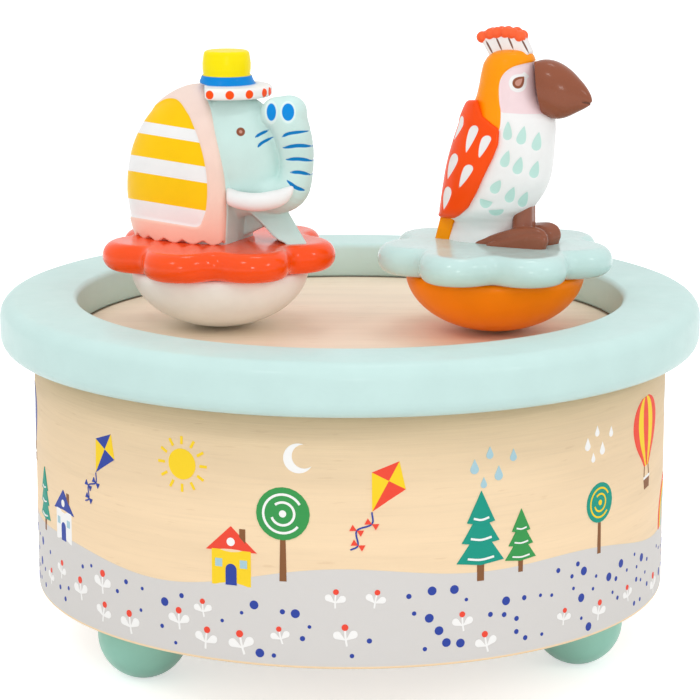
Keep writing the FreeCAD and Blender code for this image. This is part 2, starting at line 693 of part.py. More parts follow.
def make_barrel():
    flange_bottom = BARREL_TOP - FLANGE_THICKNESS
    boss_radius = DRIVE_RADIUS + BOSS_WALL
    corners = (
        (BARREL_INNER_RADIUS, COVER_TOP, 0),
        (BARREL_RADIUS, COVER_TOP, 0),
        (BARREL_RADIUS, flange_bottom, 0),
        (FLANGE_RADIUS, flange_bottom, 0),
        (FLANGE_RADIUS, BARREL_TOP, 0),
        (boss_radius, BARREL_TOP, 0),
        (boss_radius, BOSS_TOP, 0),
        (DRIVE_RADIUS, BOSS_TOP, 0),
        (DRIVE_RADIUS, BARREL_TOP + BOSS_FLOOR, 0),
        (0, BARREL_TOP + BOSS_FLOOR, 0),
        (0, BARREL_CEILING, 0),
        (BARREL_INNER_RADIUS, BARREL_CEILING, 0),
    )
    pivot_hole = cylinder(ARBOR_PIVOT_RADIUS + RUNNING_GAP, BARREL_CEILING,
                          BARREL_CEILING + ARBOR_PIVOT_LENGTH + END_GAP)
    barrel = turned(corners).cut(pivot_hole)
    pitch = math.pi * CROWN_MODULE
    levels = (
        (BARREL_TOP, TOOTH_ROOT_SHARE),
        (CROWN_PITCH_HEIGHT, TOOTH_PITCH_SHARE),
        (CROWN_PITCH_HEIGHT + TOOTH_ADDENDUM * CROWN_MODULE, TOOTH_TIP_SHARE),
    )
    flank = [V(CROWN_INNER_RADIUS, share * pitch / 2, height) for height, share in levels]
    mirrored = [V(point.x, -point.y, point.z) for point in reversed(flank)]
    teeth = []
    for tooth in range(CROWN_TEETH):
        solid = polygon_face(flank + mirrored).extrude(RIGHT * CROWN_FACE)
        solid.rotate(V(0, 0, 0), UP, 360 * tooth / CROWN_TEETH)
        teeth.append(solid)
    return fused([barrel] + teeth)


def make_barrel_cover():
    hole = cylinder(ARBOR_RADIUS + RUNNING_GAP, COVER_BOTTOM, COVER_TOP)
    return cylinder(BARREL_RADIUS, COVER_BOTTOM, COVER_TOP).cut(hole)


def make_mainspring():
    """A spiral strip of half circles about two centres, from near the arbor out to the barrel's wall."""
    shift = SPRING_PITCH / 4
    first = ARBOR_RADIUS + SPRING_PITCH
    last = BARREL_INNER_RADIUS - SPRING_PITCH / 2
    turns = int((last - first) / SPRING_PITCH * 2)

    def arcs(offset):
        for half in range(turns):
            centre = shift if half % 2 else -shift
            radius = first + half * SPRING_PITCH / 2 + offset
            side = -1 if half % 2 else 1
            points = [V(centre + side * radius, 0, 0), V(centre, side * radius, 0), V(centre - side * radius, 0, 0)]
            yield Part.Arc(*points).toShape(), points

    inner = list(arcs(-SPRING_THICKNESS / 2))
    outer = list(arcs(SPRING_THICKNESS / 2))
    edges = [edge for edge, _ in inner] + [edge for edge, _ in outer]
    edges.append(Part.makeLine(inner[0][1][0], outer[0][1][0]))
    edges.append(Part.makeLine(inner[-1][1][2], outer[-1][1][2]))
    strip = Part.Face(Part.Wire(Part.__sortEdges__(edges)))
    spring = strip.extrude(UP * (BARREL_DEPTH - 2 * SPRING_SIDE_GAP))
    spring.translate(UP * (COVER_TOP + SPRING_SIDE_GAP))
    return spring


def make_drive_shaft():
    return cylinder(DRIVE_RADIUS, BARREL_TOP + BOSS_FLOOR, CARRIER_TOP)


def make_carrier():
    hub = cylinder(DRIVE_RADIUS + BOSS_WALL, CARRIER_TOP - CARRIER_HUB_LENGTH, CARRIER_TOP)
    pieces = [hub]
    cuts = [cylinder(DRIVE_RADIUS, CARRIER_TOP - CARRIER_HUB_LENGTH, CARRIER_TOP)]
    for x, y in (ELEPHANT_PLACE, PARROT_PLACE):
        reach = math.hypot(x, y)
        half = CARRIER_ARM_WIDTH / 2
        arm = box((0, reach), (-half, half), (CARRIER_BOTTOM, CARRIER_TOP))
        arm.rotate(V(0, 0, 0), UP, math.degrees(math.atan2(y, x)))
        pieces.append(arm)
        pieces.append(cylinder(MAGNET_RADIUS + CARRIER_CUP_WALL, CARRIER_BOTTOM, CARRIER_TOP, x, y))
        cuts.append(cylinder(MAGNET_RADIUS, CARRIER_BOTTOM + CARRIER_FLOOR, CARRIER_TOP, x, y))
    return fused(pieces).cut(Part.makeCompound(cuts))


def make_carrier_magnets():
    low = CARRIER_BOTTOM + CARRIER_FLOOR
    return Part.makeCompound([cylinder(MAGNET_RADIUS, low, CARRIER_TOP, x, y)
                              for x, y in (ELEPHANT_PLACE, PARROT_PLACE)])


# Pinned cylinder and its gears


def make_drum():
    drum = cylinder(DRUM_RADIUS, 0, DRUM_LENGTH)
    hollow = cylinder(DRUM_RADIUS - DRUM_SKIN, DRUM_END_THICKNESS, DRUM_LENGTH - DRUM_END_THICKNESS)
    drum = drum.cut(hollow).cut(cylinder(SHAFT_RADIUS, 0, DRUM_LENGTH))
    pins = []
    for index in range(NOTE_COUNT * PINS_PER_NOTE):
        note = index % NOTE_COUNT
        angle = math.radians(GOLDEN_TURN * index)
        outward = V(math.cos(angle), math.sin(angle), 0)
        root = outward * (DRUM_RADIUS - DRUM_SKIN / 2) + UP * (NOTE_MARGIN + (note + 0.5) * NOTE_PITCH)
        pins.append(Part.makeCylinder(PIN_RADIUS, DRUM_SKIN / 2 + PIN_HEIGHT, root, outward))
    return laid_along_x(drum.multiFuse(pins), DRUM_START, 0, AXIS_HEIGHT)


def make_cylinder_shaft():
    return cylinder_along_x(SHAFT_RADIUS, SHAFT_START, SHAFT_STOP, 0, AXIS_HEIGHT)


def make_cylinder_pinion():
    gap_down = 180.0 / PINION_TEETH
    pinion = gear(PINION_TEETH, CROWN_MODULE, gap_down, CROWN_FACE, SHAFT_RADIUS)
    return laid_along_x(pinion, CROWN_INNER_RADIUS, 0, AXIS_HEIGHT)


def make_cylinder_gear():
    wheel = gear(CYLINDER_GEAR_TEETH, TRAIN_MODULE, idler_direction(), GEAR_WIDTH, SHAFT_RADIUS)
    return laid_along_x(wheel, DRUM_END, 0, AXIS_HEIGHT)


def idler_direction():
    """The direction from the cylinder's axis to the idler's, in degrees, before both are laid along X."""
    return -90.0 + IDLER_DROP_ANGLE


def make_idler_gear():
    facing = idler_direction() + 180.0 + 180.0 / IDLER_PINION_TEETH
    pinion = gear_face(IDLER_PINION_TEETH, TRAIN_MODULE, facing).extrude(UP * (GEAR_WIDTH + WHEEL_SPACING / 2))
    wheel = gear_face(IDLER_WHEEL_TEETH, TRAIN_MODULE, -90.0).extrude(UP * WHEEL_WIDTH)
    wheel.translate(UP * (GEAR_WIDTH + WHEEL_SPACING))
    length = WHEEL_END - DRUM_END
    hub = cylinder(IDLER_HUB_RADIUS, 0, length)
    solid = fused([hub, pinion, wheel]).cut(cylinder(IDLER_SHAFT_RADIUS, 0, length))
    return laid_along_x(solid, DRUM_END, IDLER_Y, IDLER_HEIGHT)


def make_idler_shaft():
    return cylinder_along_x(IDLER_SHAFT_RADIUS, INNER_CHEEK + END_GAP, OUTER_CHEEK + BRACKET_THICKNESS - END_GAP,
                            IDLER_Y, IDLER_HEIGHT)


# Governor


def make_worm():
    """A worm with one thread, whose gap faces the idler wheel's tooth, on a shaft with two pivots."""
    pitch = math.pi * TRAIN_MODULE
    root = WORM_PITCH_RADIUS - TOOTH_DEDENDUM * TRAIN_MODULE
    tip = WORM_PITCH_RADIUS + TOOTH_ADDENDUM * TRAIN_MODULE
    inside = root - WORM_SHAFT_RADIUS / 4
    low = IDLER_HEIGHT - WORM_HALF_LENGTH
    high = IDLER_HEIGHT + WORM_HALF_LENGTH
    turns = int(2 * WORM_HALF_LENGTH / pitch) - 1
    length = turns * pitch
    start_angle = 90.0
    start = IDLER_HEIGHT - pitch / 2 - pitch * (turns // 2)
    section = (
        V(inside, 0, -TOOTH_ROOT_SHARE * pitch / 2),
        V(WORM_PITCH_RADIUS, 0, -TOOTH_PITCH_SHARE * pitch / 2),
        V(tip, 0, -TOOTH_TIP_SHARE * pitch / 2),
        V(tip, 0, TOOTH_TIP_SHARE * pitch / 2),
        V(WORM_PITCH_RADIUS, 0, TOOTH_PITCH_SHARE * pitch / 2),
        V(inside, 0, TOOTH_ROOT_SHARE * pitch / 2),
    )
    path = Part.Wire(Part.makeHelix(pitch, length, WORM_PITCH_RADIUS).Edges)
    profile = Part.makePolygon(list(section) + [section[0]])
    thread = path.makePipeShell([profile], True, True)
    thread.rotate(V(0, 0, 0), UP, start_angle)
    thread.translate(UP * start)
    bottom = BRACKET_BASE_TOP + END_GAP
    core = cylinder(root, low, high)
    shaft = cylinder(WORM_SHAFT_RADIUS, bottom, ARM_BOTTOM - END_GAP)
    pivot = cylinder(PIVOT_RADIUS, BRACKET_BASE_TOP - PIVOT_LENGTH, ARM_BOTTOM + PIVOT_LENGTH)
    worm = fused([core, shaft, pivot, thread])
    worm.translate(V(WORM_X, WORM_Y, 0))
    return worm


def make_fan():
    hub = cylinder(FAN_HUB_RADIUS, FAN_BOTTOM, FAN_TOP)
    half = FAN_BLADE / 2
    blades = box((-FAN_RADIUS, FAN_RADIUS), (-half, half), (FAN_BOTTOM, FAN_TOP))
    fan = fused([hub, blades]).cut(cylinder(WORM_SHAFT_RADIUS, FAN_BOTTOM, FAN_TOP))
    fan.translate(V(WORM_X, WORM_Y, 0))
    return fan


def make_bracket():
    column_right = WORM_X - FAN_RADIUS - BRACKET_SIDE_GAP
    column_left = column_right - BRACKET_THICKNESS
    outer = OUTER_CHEEK + BRACKET_THICKNESS
    arm_sides = (WORM_Y - CHEEK_HALF_WIDTH, WORM_Y + CHEEK_HALF_WIDTH)
    cheek_sides = (IDLER_Y - CHEEK_HALF_WIDTH, IDLER_Y + CHEEK_HALF_WIDTH)
    cheek_heights = (PLATE_TOP, IDLER_HEIGHT + CHEEK_HALF_WIDTH)
    base = box((column_left, outer), (arm_sides[0], cheek_sides[1]), (PLATE_TOP, BRACKET_BASE_TOP))
    window = box((DRUM_END, OUTER_CHEEK), (arm_sides[1], cheek_sides[1]), (PLATE_TOP, BRACKET_BASE_TOP))
    inner_cheek = box((INNER_CHEEK, INNER_CHEEK + BRACKET_THICKNESS), cheek_sides, cheek_heights)
    outer_cheek = box((OUTER_CHEEK, outer), cheek_sides, cheek_heights)
    column = box((column_left, column_right), arm_sides, (PLATE_TOP, ARM_BOTTOM + BRACKET_THICKNESS))
    arm = box((column_left, WORM_X + CHEEK_HALF_WIDTH), arm_sides, (ARM_BOTTOM, ARM_BOTTOM + BRACKET_THICKNESS))
    x, y = bracket_screw_place()
    pivot = PIVOT_RADIUS + RUNNING_GAP
    holes = [
        cylinder(SMALL_SCREW_RADIUS, PLATE_TOP, BRACKET_BASE_TOP, x, y),
        cylinder(pivot, BRACKET_BASE_TOP - PIVOT_LENGTH - END_GAP, BRACKET_BASE_TOP, WORM_X, WORM_Y),
        cylinder(pivot, ARM_BOTTOM, ARM_BOTTOM + BRACKET_THICKNESS, WORM_X, WORM_Y),
        cylinder_along_x(IDLER_SHAFT_RADIUS + RUNNING_GAP, INNER_CHEEK, outer, IDLER_Y, IDLER_HEIGHT),
    ]
    frame = fused([base.cut(window), inner_cheek, outer_cheek, column, arm])
    return frame.cut(Part.makeCompound(holes))


def make_bracket_screw():
    x, y = bracket_screw_place()
    return small_screw(x, y, BRACKET_BASE_TOP, BRACKET_BASE + BRACKET_SCREW_BITE)


# Figures


def make_dome(place):
    """The lower half of an ellipsoid, flat side up, with a pocket for its magnet."""
    whole = stretched(Part.makeSphere(1.0), (DOME_RADIUS, DOME_RADIUS, DOME_HEIGHT))
    whole.translate(UP * DOME_TOP)
    dome = whole.common(cylinder(DOME_RADIUS + FIGURE_GAP, DOME_BOTTOM - FIGURE_GAP, DOME_TOP))
    dome = dome.cut(cylinder(FIGURE_MAGNET_RADIUS, DOME_BOTTOM + DOME_SKIN, DOME_TOP))
    dome.translate(V(place[0], place[1], 0))
    return dome


def make_figure_magnet(place):
    low = DOME_BOTTOM + DOME_SKIN
    return cylinder(FIGURE_MAGNET_RADIUS, low, low + FIGURE_MAGNET_THICKNESS, *place)


def rounded_disc(radius):
    half = FLOWER_THICKNESS / 2
    middle = DOME_TOP + half
    edges = [
        Part.makeLine(V(0, 0, DOME_TOP), V(radius - half, 0, DOME_TOP)),
        Part.Arc(V(radius - half, 0, DOME_TOP), V(radius, 0, middle), V(radius - half, 0, PLINTH_TOP)).toShape(),
        Part.makeLine(V(radius - half, 0, PLINTH_TOP), V(0, 0, PLINTH_TOP)),
        Part.makeLine(V(0, 0, PLINTH_TOP), V(0, 0, DOME_TOP)),
    ]
    return Part.Face(Part.Wire(edges)).revolve(V(0, 0, 0), UP, 360)


def make_flower(place, turn):
    pieces = [rounded_disc(FLOWER_CORE_RADIUS)]
    for lobe in range(FLOWER_LOBES):
        angle = math.radians(turn + 360 * lobe / FLOWER_LOBES)
        disc = rounded_disc(FLOWER_LOBE_RADIUS)
        disc.translate(V(math.cos(angle), math.sin(angle), 0) * FLOWER_LOBE_CIRCLE)
        pieces.append(disc)
    flower = fused(pieces)
    flower.translate(V(place[0], place[1], 0))
    return flower


def upright_loft(sections, swell=0.0, shift=0.0):
    """A loft through level circles given as (x of the centre, radius, height)."""
    return loft([circle_wire(radius + swell, V(x + shift, 0, height), UP) for x, radius, height in sections])


def side_prism(outline, sides):
    points = [V(x, sides[0], height) for x, height in outline]
    return polygon_face(points).extrude(BACK * (sides[1] - sides[0]))


def arc_tube(start, middle, end, radius, side):
    """A round bar bent along an arc in a plane seen from the side, with ball ends."""
    points = [V(x, side, height) for x, height in (start, middle, end)]
    edge = Part.Arc(*points).toShape()
    profile = circle_wire(radius, points[0], edge.tangentAt(edge.FirstParameter))
    tube = Part.Wire(edge).makePipeShell([profile], True, True)
    return [tube] + [ball(radius, point) for point in (points[0], points[2])]


def below_plinth():
    reach = FLOWER_LOBE_CIRCLE + FLOWER_LOBE_RADIUS
    return box((-reach, reach), (-reach, reach), (-reach, 0))


def set_on_plinth(shape, place, turn):
    shape.rotate(V(0, 0, 0), UP, -turn)
    shape.translate(V(place[0], place[1], PLINTH_TOP))
    return shape


def make_hat():
    band_low = HAT_SEAT + BRIM_THICKNESS
    crown_low = band_low + BAND_HEIGHT
    crown_high = crown_low + CROWN_HEIGHT
    corners = (
        (0, HAT_SEAT, 0),
        (BRIM_RADIUS, HAT_SEAT, BRIM_ROUND),
        (BRIM_RADIUS, band_low, BRIM_ROUND),
        (BAND_RADIUS, band_low, 0),
        (CROWN_RADIUS, crown_low, 0),
        (CROWN_TOP_RADIUS, crown_high, CROWN_ROUND),
        (0, crown_high, 0),
    )
    return turned(corners, HAT_PLACE)


def make_blanket(sections, swell=0.0):
    """The blanket as a slim dome, open towards the head, or a smaller one inside it."""
    dome = stretched(upright_loft(sections, swell), (1.0, BLANKET_SLIMNESS, 1.0))
    reach = max(radius for _, radius, _ in sections)
    ahead = ((reach, BLANKET_FRONT[-1][1]), (reach, BLANKET_FRONT[0][1]))
    return dome.cut(side_prism(BLANKET_FRONT + ahead, (-reach, reach)))


def make_elephant():
    """The elephant's pieces: body, blanket, tusks and hat, each cut where it meets the one below."""
    head = ellipsoid(HEAD_CENTRE, HEAD_RADII)
    core = make_blanket(BLANKET_SECTIONS[:-1], -BLANKET_THICKNESS)
    trunk = arc_tube(TRUNK_ROOT, TRUNK_BEND, TRUNK_TIP, TRUNK_RADIUS, TRUNK_SIDE)
    tip = ball(TRUNK_TIP_RADIUS, V(TRUNK_TIP[0], TRUNK_SIDE, TRUNK_TIP[1]))
    legs = [side_prism(STEP_LEG, STEP_LEG_SIDES), side_prism(STANDING_LEG, STANDING_LEG_SIDES)]
    body = head.multiFuse([core] + trunk + [tip] + legs).cut(below_plinth())
    blanket = make_blanket(BLANKET_SECTIONS)
    hat = make_hat().cut(blanket).cut(body)
    blanket = blanket.cut(body)
    tusks = []
    for side in (-TUSK_SIDE, TUSK_SIDE):
        bar = arc_tube(TUSK_BACK, TUSK_LOW, TUSK_FRONT, TUSK_RADIUS, side)
        tusks.append(bar[0].multiFuse(bar[1:]).cut(body).cut(blanket))
    return {
        "elephant_body": body,
        "elephant_blanket": blanket,
        "elephant_tusks": Part.makeCompound(tusks),
        "elephant_hat": hat,
    }


def make_beak():
    beak = loft([circle_wire(radius, V(x, 0, height), RIGHT) for x, height, radius in BEAK_SECTIONS])
    return stretched(beak, (1.0, BEAK_SLIMNESS, 1.0))


def make_crest():
    fan = side_prism(CREST_BASE + CREST_TOP, (-CREST_HALF_WIDTH, CREST_HALF_WIDTH))
    points = [V(x, 0, height) for x, height in (PLUME_FIRST, PLUME_MIDDLE, PLUME_LAST)]
    places = Part.Arc(*points).toShape().discretize(PLUME_COUNT)
    return fan.multiFuse([ball(PLUME_RADIUS, place) for place in places])


def make_shoe_and_leg(side):
    shoe = loft([circle_wire(radius, V(x, 0, 0), RIGHT) for x, radius in SHOE_SECTIONS])
    shoe = stretched(shoe, (1.0, SHOE_SLIMNESS, 1.0))
    shoe.translate(V(0, side, max(radius for _, radius in SHOE_SECTIONS) / 2))
    leg = cylinder(LEG_RADIUS, 0, LEG_TOP, LEG_PLACE, side)
    return shoe.fuse(leg).cut(below_plinth())


def make_parrot():
    """The parrot's pieces: body, wings, tail, beak, crest and feet, each cut where it meets the one below."""
    body = upright_loft(PARROT_SECTIONS)
    top = WING_OUTLINE[0][1]
    low = WING_OUTLINE[-1][1]
    reach = FLOWER_CORE_RADIUS
    wing_zone = side_prism(WING_OUTLINE + ((WING_BACK, low), (WING_BACK, top)), (-reach, reach))
    wings = upright_loft(PARROT_SECTIONS, WING_SWELL, WING_SHIFT).common(wing_zone).cut(body)
    tail = side_prism(TAIL_OUTLINE, (-TAIL_HALF_WIDTH, TAIL_HALF_WIDTH)).cut(body).cut(wings)
    feet = [make_shoe_and_leg(side).cut(body) for side in (-LEG_SIDE, LEG_SIDE)]
    beak = make_beak().cut(body)
    return {
        "parrot_body": body,
        "parrot_wings": wings,
        "parrot_tail": tail,
        "parrot_beak": beak,
        "parrot_crest": make_crest().cut(body).cut(beak),
        "parrot_feet": Part.makeCompound(feet),
    }


os.makedirs("parts", exist_ok=True)

save("rim_ring", make_rim())
save("wall_shell", make_wall())
save("top_board", cylinder(WALL_INNER_RADIUS, BOARD_BOTTOM, WALL_TOP))
save("base_board", make_base_board())
for foot_name, foot_x, foot_y in foot_places():
    save(foot_name, make_foot(foot_x, foot_y))
save("foot_screws", make_foot_screws())
save("movement_screws", make_movement_screws())
save("bedplate", make_bedplate())
save("comb", make_comb())
save("comb_screws", make_comb_screws())
save("winding_arbor", make_arbor())
save("winding_key", make_key())
save("ratchet_wheel", make_ratchet())
save("click", make_click())
save("spring_barrel", make_barrel())
save("barrel_cover", make_barrel_cover())
save("mainspring", make_mainspring())
save("drive_shaft", make_drive_shaft())
save("magnet_carrier", make_carrier())
save("carrier_magnets", make_carrier_magnets())
save("cylinder_drum", make_drum())
save("cylinder_shaft", make_cylinder_shaft())
save("cylinder_pinion", make_cylinder_pinion())
save("cylinder_gear", make_cylinder_gear())
save("idler_gear", make_idler_gear())
save("idler_shaft", make_idler_shaft())
save("governor_worm", make_worm())
save("governor_fan", make_fan())
save("governor_bracket", make_bracket())
save("bracket_screw", make_bracket_screw())
save("elephant_flower", make_flower(ELEPHANT_PLACE, ELEPHANT_FLOWER_TURN))
save("parrot_flower", make_flower(PARROT_PLACE, PARROT_FLOWER_TURN))
for animal, spot in (("elephant", ELEPHANT_PLACE), ("parrot", PARROT_PLACE)):
    save(f"{animal}_dome", make_dome(spot))
    save(f"{animal}_magnet", make_figure_magnet(spot))
for node, solid in make_elephant().items():
    save(node, set_on_plinth(solid, ELEPHANT_PLACE, ELEPHANT_TURN))
for node, solid in make_parrot().items():
    save(node, set_on_plinth(solid, PARROT_PLACE, PARROT_TURN))
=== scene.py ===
import json
import math

import bpy
import numpy as np
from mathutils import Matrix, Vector, geometry


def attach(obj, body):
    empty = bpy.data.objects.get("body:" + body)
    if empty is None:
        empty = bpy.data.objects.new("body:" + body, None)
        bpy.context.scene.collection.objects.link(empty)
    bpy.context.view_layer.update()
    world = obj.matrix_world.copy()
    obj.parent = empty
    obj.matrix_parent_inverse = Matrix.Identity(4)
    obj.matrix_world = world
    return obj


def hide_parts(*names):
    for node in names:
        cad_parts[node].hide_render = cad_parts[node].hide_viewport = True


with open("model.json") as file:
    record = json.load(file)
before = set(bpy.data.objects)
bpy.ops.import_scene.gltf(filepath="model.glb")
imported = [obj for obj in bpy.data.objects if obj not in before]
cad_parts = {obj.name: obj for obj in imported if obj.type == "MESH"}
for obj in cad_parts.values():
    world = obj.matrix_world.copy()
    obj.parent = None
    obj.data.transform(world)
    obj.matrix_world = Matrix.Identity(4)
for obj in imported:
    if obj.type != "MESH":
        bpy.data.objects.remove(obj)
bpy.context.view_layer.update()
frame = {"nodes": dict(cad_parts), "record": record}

# Lengths are millimetres in the frame of the part: X right, Y away from the viewer, Z up
MM = 0.001
CAMERA_PLACE = (0.0, -454.345, 148.3)
CAMERA_PITCH = 0.212
CAMERA_LENS = 137.84
CAMERA_SENSOR = 36.0
CAMERA_NEAR = 10.0

# Case
RIM_OUTER = 60.0
RIM_INNER = 46.8
RIM_LOW = 52.3
RIM_HIGH = 61.0
RIM_ROUND = 2.8
RIM_INNER_ROUND = 1.0
RIM_UNDERCUT = 0.4
WALL_RADIUS = 54.4
WALL_INNER = 51.4
WALL_LOW = 11.0
WALL_ROUND = 0.25
BOARD_TOP = 54.7
FOOT_RADIUS = 7.65
FOOT_PAD = 1.75
FOOT_CIRCLE = 42.5
FOOT_SEGMENTS = 96
FOOT_ANGLES = {"foot_left": 215.5, "foot_right": 335.5, "foot_back": 95.5}

# Figures
ELEPHANT = (-22.4, 0.5)
PARROT = (24.8, -3.4)
FIGURES = {"elephant": ELEPHANT, "parrot": PARROT}
DOME_RADIUS = 15.3
DOME_LOW = 55.0
DOME_HIGH = 65.3
DOME_EDGE = [(0.12, 0.5), (0.45, 0.1), (1.0, 0.0)]
DOME_SEGMENTS = 160
PLINTH = 69.9
LOBES = 7
LOBE_RADIUS = 6.3
LOBE_CIRCLE = 14.0
FLOWER_CORE = 16.6
FLOWER_DISH = 0.2
FLOWER_RISE = 0.35
FLOWER_UNDER = (0.0, 0.5, 0.8)
FLOWER_OVER = (0.94, 0.86, 0.76, 0.64, 0.5, 0.34, 0.18, 0.0)
FLOWER_SEGMENTS = 336
FLOWER_BLUR = 4
FLOWER_TURNS = {"elephant": -64.3, "parrot": -68.8}
SUNK = -0.6
FIGURE_TURN = math.radians(25.0)
FACING = (math.cos(FIGURE_TURN), math.sin(FIGURE_TURN))

# Paint colours as display values. The cape's two pinks are one paint with painted shade low down and a
# painted highlight at the top
COLOURS = {
    "rim": (200, 228, 224), "foot": (157, 212, 194), "wood": (246, 218, 180), "board": (246, 229, 206),
    "cream": (246, 243, 238), "dome_orange": (255, 134, 0), "red": (253, 80, 12), "mint": (205, 232, 227),
    "flower_mint": (198, 227, 223), "pink_painted_highlight": (243, 220, 210), "pink_painted_shade": (250, 208, 188),
    "white": (243, 242, 241), "yellow": (254, 202, 4), "hat_yellow": (250, 229, 0), "blue": (0, 136, 218),
    "stroke": (0, 122, 192), "orange": (255, 155, 4), "face": (244, 219, 222), "brown": (144, 83, 59),
    "eye": (205, 148, 132), "drop": (194, 229, 220), "nostril_rim": (222, 240, 237),
    "mouth": (104, 62, 46), "crest_line": (120, 78, 62), "crest_tip": (253, 104, 58),
    # The dark gap brown is painted shade where the rim meets the board
    "fleck": (206, 168, 124), "gap": (96, 70, 44), "floor": (236, 236, 236)}
# A distance beyond all others, and a length too short to matter
FAR = 1e9
TINY = 1e-6


def linear(colour):
    """A display colour from 0 to 255 as the shader's linear values."""
    shares = [channel / 255 for channel in colour]
    return tuple(s / 12.92 if s <= 0.04045 else ((s + 0.055) / 1.055) ** 2.4 for s in shares) + (1.0,)


def paint(name):
    return linear(COLOURS[name])


def shaded(colour, share):
    """A display colour made darker or lighter, as linear values."""
    return linear([min(255, channel * share) for channel in colour])


class Look:
    """A node material in the making, with short ways to add and join its nodes."""

    def __init__(self, name):
        self.material = bpy.data.materials.new(name)
        self.material.use_nodes = True
        self.tree = self.material.node_tree
        self.shader = self.tree.nodes["Principled BSDF"]
        self.place = self.add("ShaderNodeTexCoord").outputs["Object"]

    def add(self, kind, feeds=None, **settings):
        node = self.tree.nodes.new(kind)
        for key, value in settings.items():
            setattr(node, key, value)
        for socket, value in (feeds or {}).items():
            self.feed(node.inputs[socket], value)
        return node

    def feed(self, socket, value):
        if isinstance(value, bpy.types.NodeSocket):
            self.tree.links.new(value, socket)
        else:
            socket.default_value = value

    def set(self, socket, value):
        self.feed(self.shader.inputs[socket], value)

    def calc(self, operation, first, second=0.0):
        return self.add("ShaderNodeMath", {0: first, 1: second}, operation=operation).outputs[0]

    def stretched(self, shares, place=None):
        feeds = {0: place or self.place, 1: shares}
        return self.add("ShaderNodeVectorMath", feeds, operation="MULTIPLY").outputs[0]

    def noise(self, size, detail=3.0, roughness=0.55, place=None):
        """Noise from 0 to 1 whose features are about size millimetres across."""
        feeds = {"Scale": 1 / (size * MM), "Detail": detail, "Roughness": roughness}
        return self.add("ShaderNodeTexNoise", {"Vector": place or self.place, **feeds}).outputs["Fac"]

    def span(self, value, low, high, start=0.0, end=1.0):
        feeds = {"Value": value, "From Min": low, "From Max": high, "To Min": start, "To Max": end}
        return self.add("ShaderNodeMapRange", feeds).outputs["Result"]

    def mix(self, share, first, second):
        return self.add("ShaderNodeMix", {0: share, 6: first, 7: second}, data_type="RGBA").outputs[2]

    def ramp(self, share, stops, constant=False):
        node = self.add("ShaderNodeValToRGB", {"Fac": share})
        band = node.color_ramp
        band.interpolation = "CONSTANT" if constant else "LINEAR"
        while len(band.elements) < len(stops):
            band.elements.new(1.0)
        for element, (place, colour) in zip(band.elements, stops):
            element.position = place
            element.color = colour
        return node.outputs["Color"]

    def rough(self, noise, low, high):
        """Roughness from low to high with the noise."""
        self.set("Roughness", self.span(noise, 0.3, 0.7, low, high))

    def field(self, name):
        return self.add("ShaderNodeAttribute", attribute_name=name).outputs["Fac"]

    def inside(self, name, offset=0.0, edge=0.05):
        """One where a painted shape's distance field is below offset, with a fine soft edge."""
        return self.span(self.field(name), offset - edge, offset + edge, 1.0, 0.0)

    def axis(self, index):
        return self.add("ShaderNodeSeparateXYZ", {0: self.place}).outputs[index]

    def relief(self, height, depth):
        """Bumps of depth millimetres, over any that are there."""
        feeds = {"Strength": 1.0, "Distance": depth * MM, "Height": height}
        normal = self.shader.inputs["Normal"]
        if normal.is_linked:
            feeds["Normal"] = normal.links[0].from_socket
        self.feed(normal, self.add("ShaderNodeBump", feeds).outputs["Normal"])


def painted(name, colour, roughness=0.36, coat=0.06, layers=(), wear=0.05, grain=0.0):
    """Satin brush paint on a cast or turned piece.

    Layers are (field name, offset, colour) from the bottom up.
    """
    look = Look(name)
    base = colour(look) if callable(colour) else paint(colour)
    for field_name, offset, layer in layers:
        base = look.mix(look.inside(field_name, offset), base, paint(layer))
    cloud = look.span(look.noise(7.0, 4.0), 0.3, 0.7, 1 - wear, 1 + wear / 2)
    tinted = look.add("ShaderNodeHueSaturation", {"Color": base, "Value": cloud})
    look.set("Base Color", tinted.outputs["Color"])
    look.rough(look.noise(2.4, 3.0), roughness - 0.05, roughness + 0.07)
    look.set("Specular IOR Level", 0.1)
    look.set("Coat Weight", coat)
    look.set("Coat Roughness", 0.12)
    look.relief(look.noise(3.2, 2.0), 0.035)
    look.relief(look.noise(0.5, 2.0), 0.008)
    if grain:
        look.relief(look.noise(0.8, 3.0, 0.6, look.stretched((0.06, 1.0, 1.0))), grain)
    return look.material


# Shapes as signed distances over points in rows of x, y, z


def smooth_min(first, second, blend):
    share = np.clip(0.5 + 0.5 * (second - first) / blend, 0, 1)
    return second * (1 - share) + first * share - blend * share * (1 - share)


def smooth_max(first, second, blend):
    return -smooth_min(-first, -second, blend)


def ellipsoid(p, centre, radii):
    q = (p - np.array(centre)) / np.array(radii)
    near = np.linalg.norm(q, axis=1)
    slope = np.linalg.norm(q / np.array(radii), axis=1)
    return near * (near - 1) / np.maximum(slope, TINY)


def bar(p, path):
    """A round bar along points (x, y, z, radius), tapering between them."""
    best = np.full(len(p), FAR)
    for start, end in zip(path[:-1], path[1:]):
        a, b = np.array(start), np.array(end)
        along = b[:3] - a[:3]
        share = np.clip((p - a[:3]) @ along / (along @ along), 0, 1)
        gap = np.linalg.norm(p - a[:3] - share[:, None] * along, axis=1)
        best = np.minimum(best, gap - a[3] - share * (b[3] - a[3]))
    return best


def softened(points, count=6, closed=False):
    """Points along a smooth curve through the given ones."""
    rows = np.array(points, float)
    if closed:
        rows = np.vstack([rows[-1:], rows, rows[:2]])
    else:
        rows = np.vstack([2 * rows[0] - rows[1], rows, 2 * rows[-1] - rows[-2]])
    found = []
    for before, start, end, after in zip(rows[:-3], rows[1:-2], rows[2:-1], rows[3:]):
        for t in np.arange(count) / count:
            bend = 2 * start + (end - before) * t
            bend = bend + (2 * before - 5 * start + 4 * end - after) * t**2
            found.append((bend + (3 * start - before - 3 * end + after) * t**3) / 2)
    if not closed:
        found.append(rows[-2])
    return np.array(found)


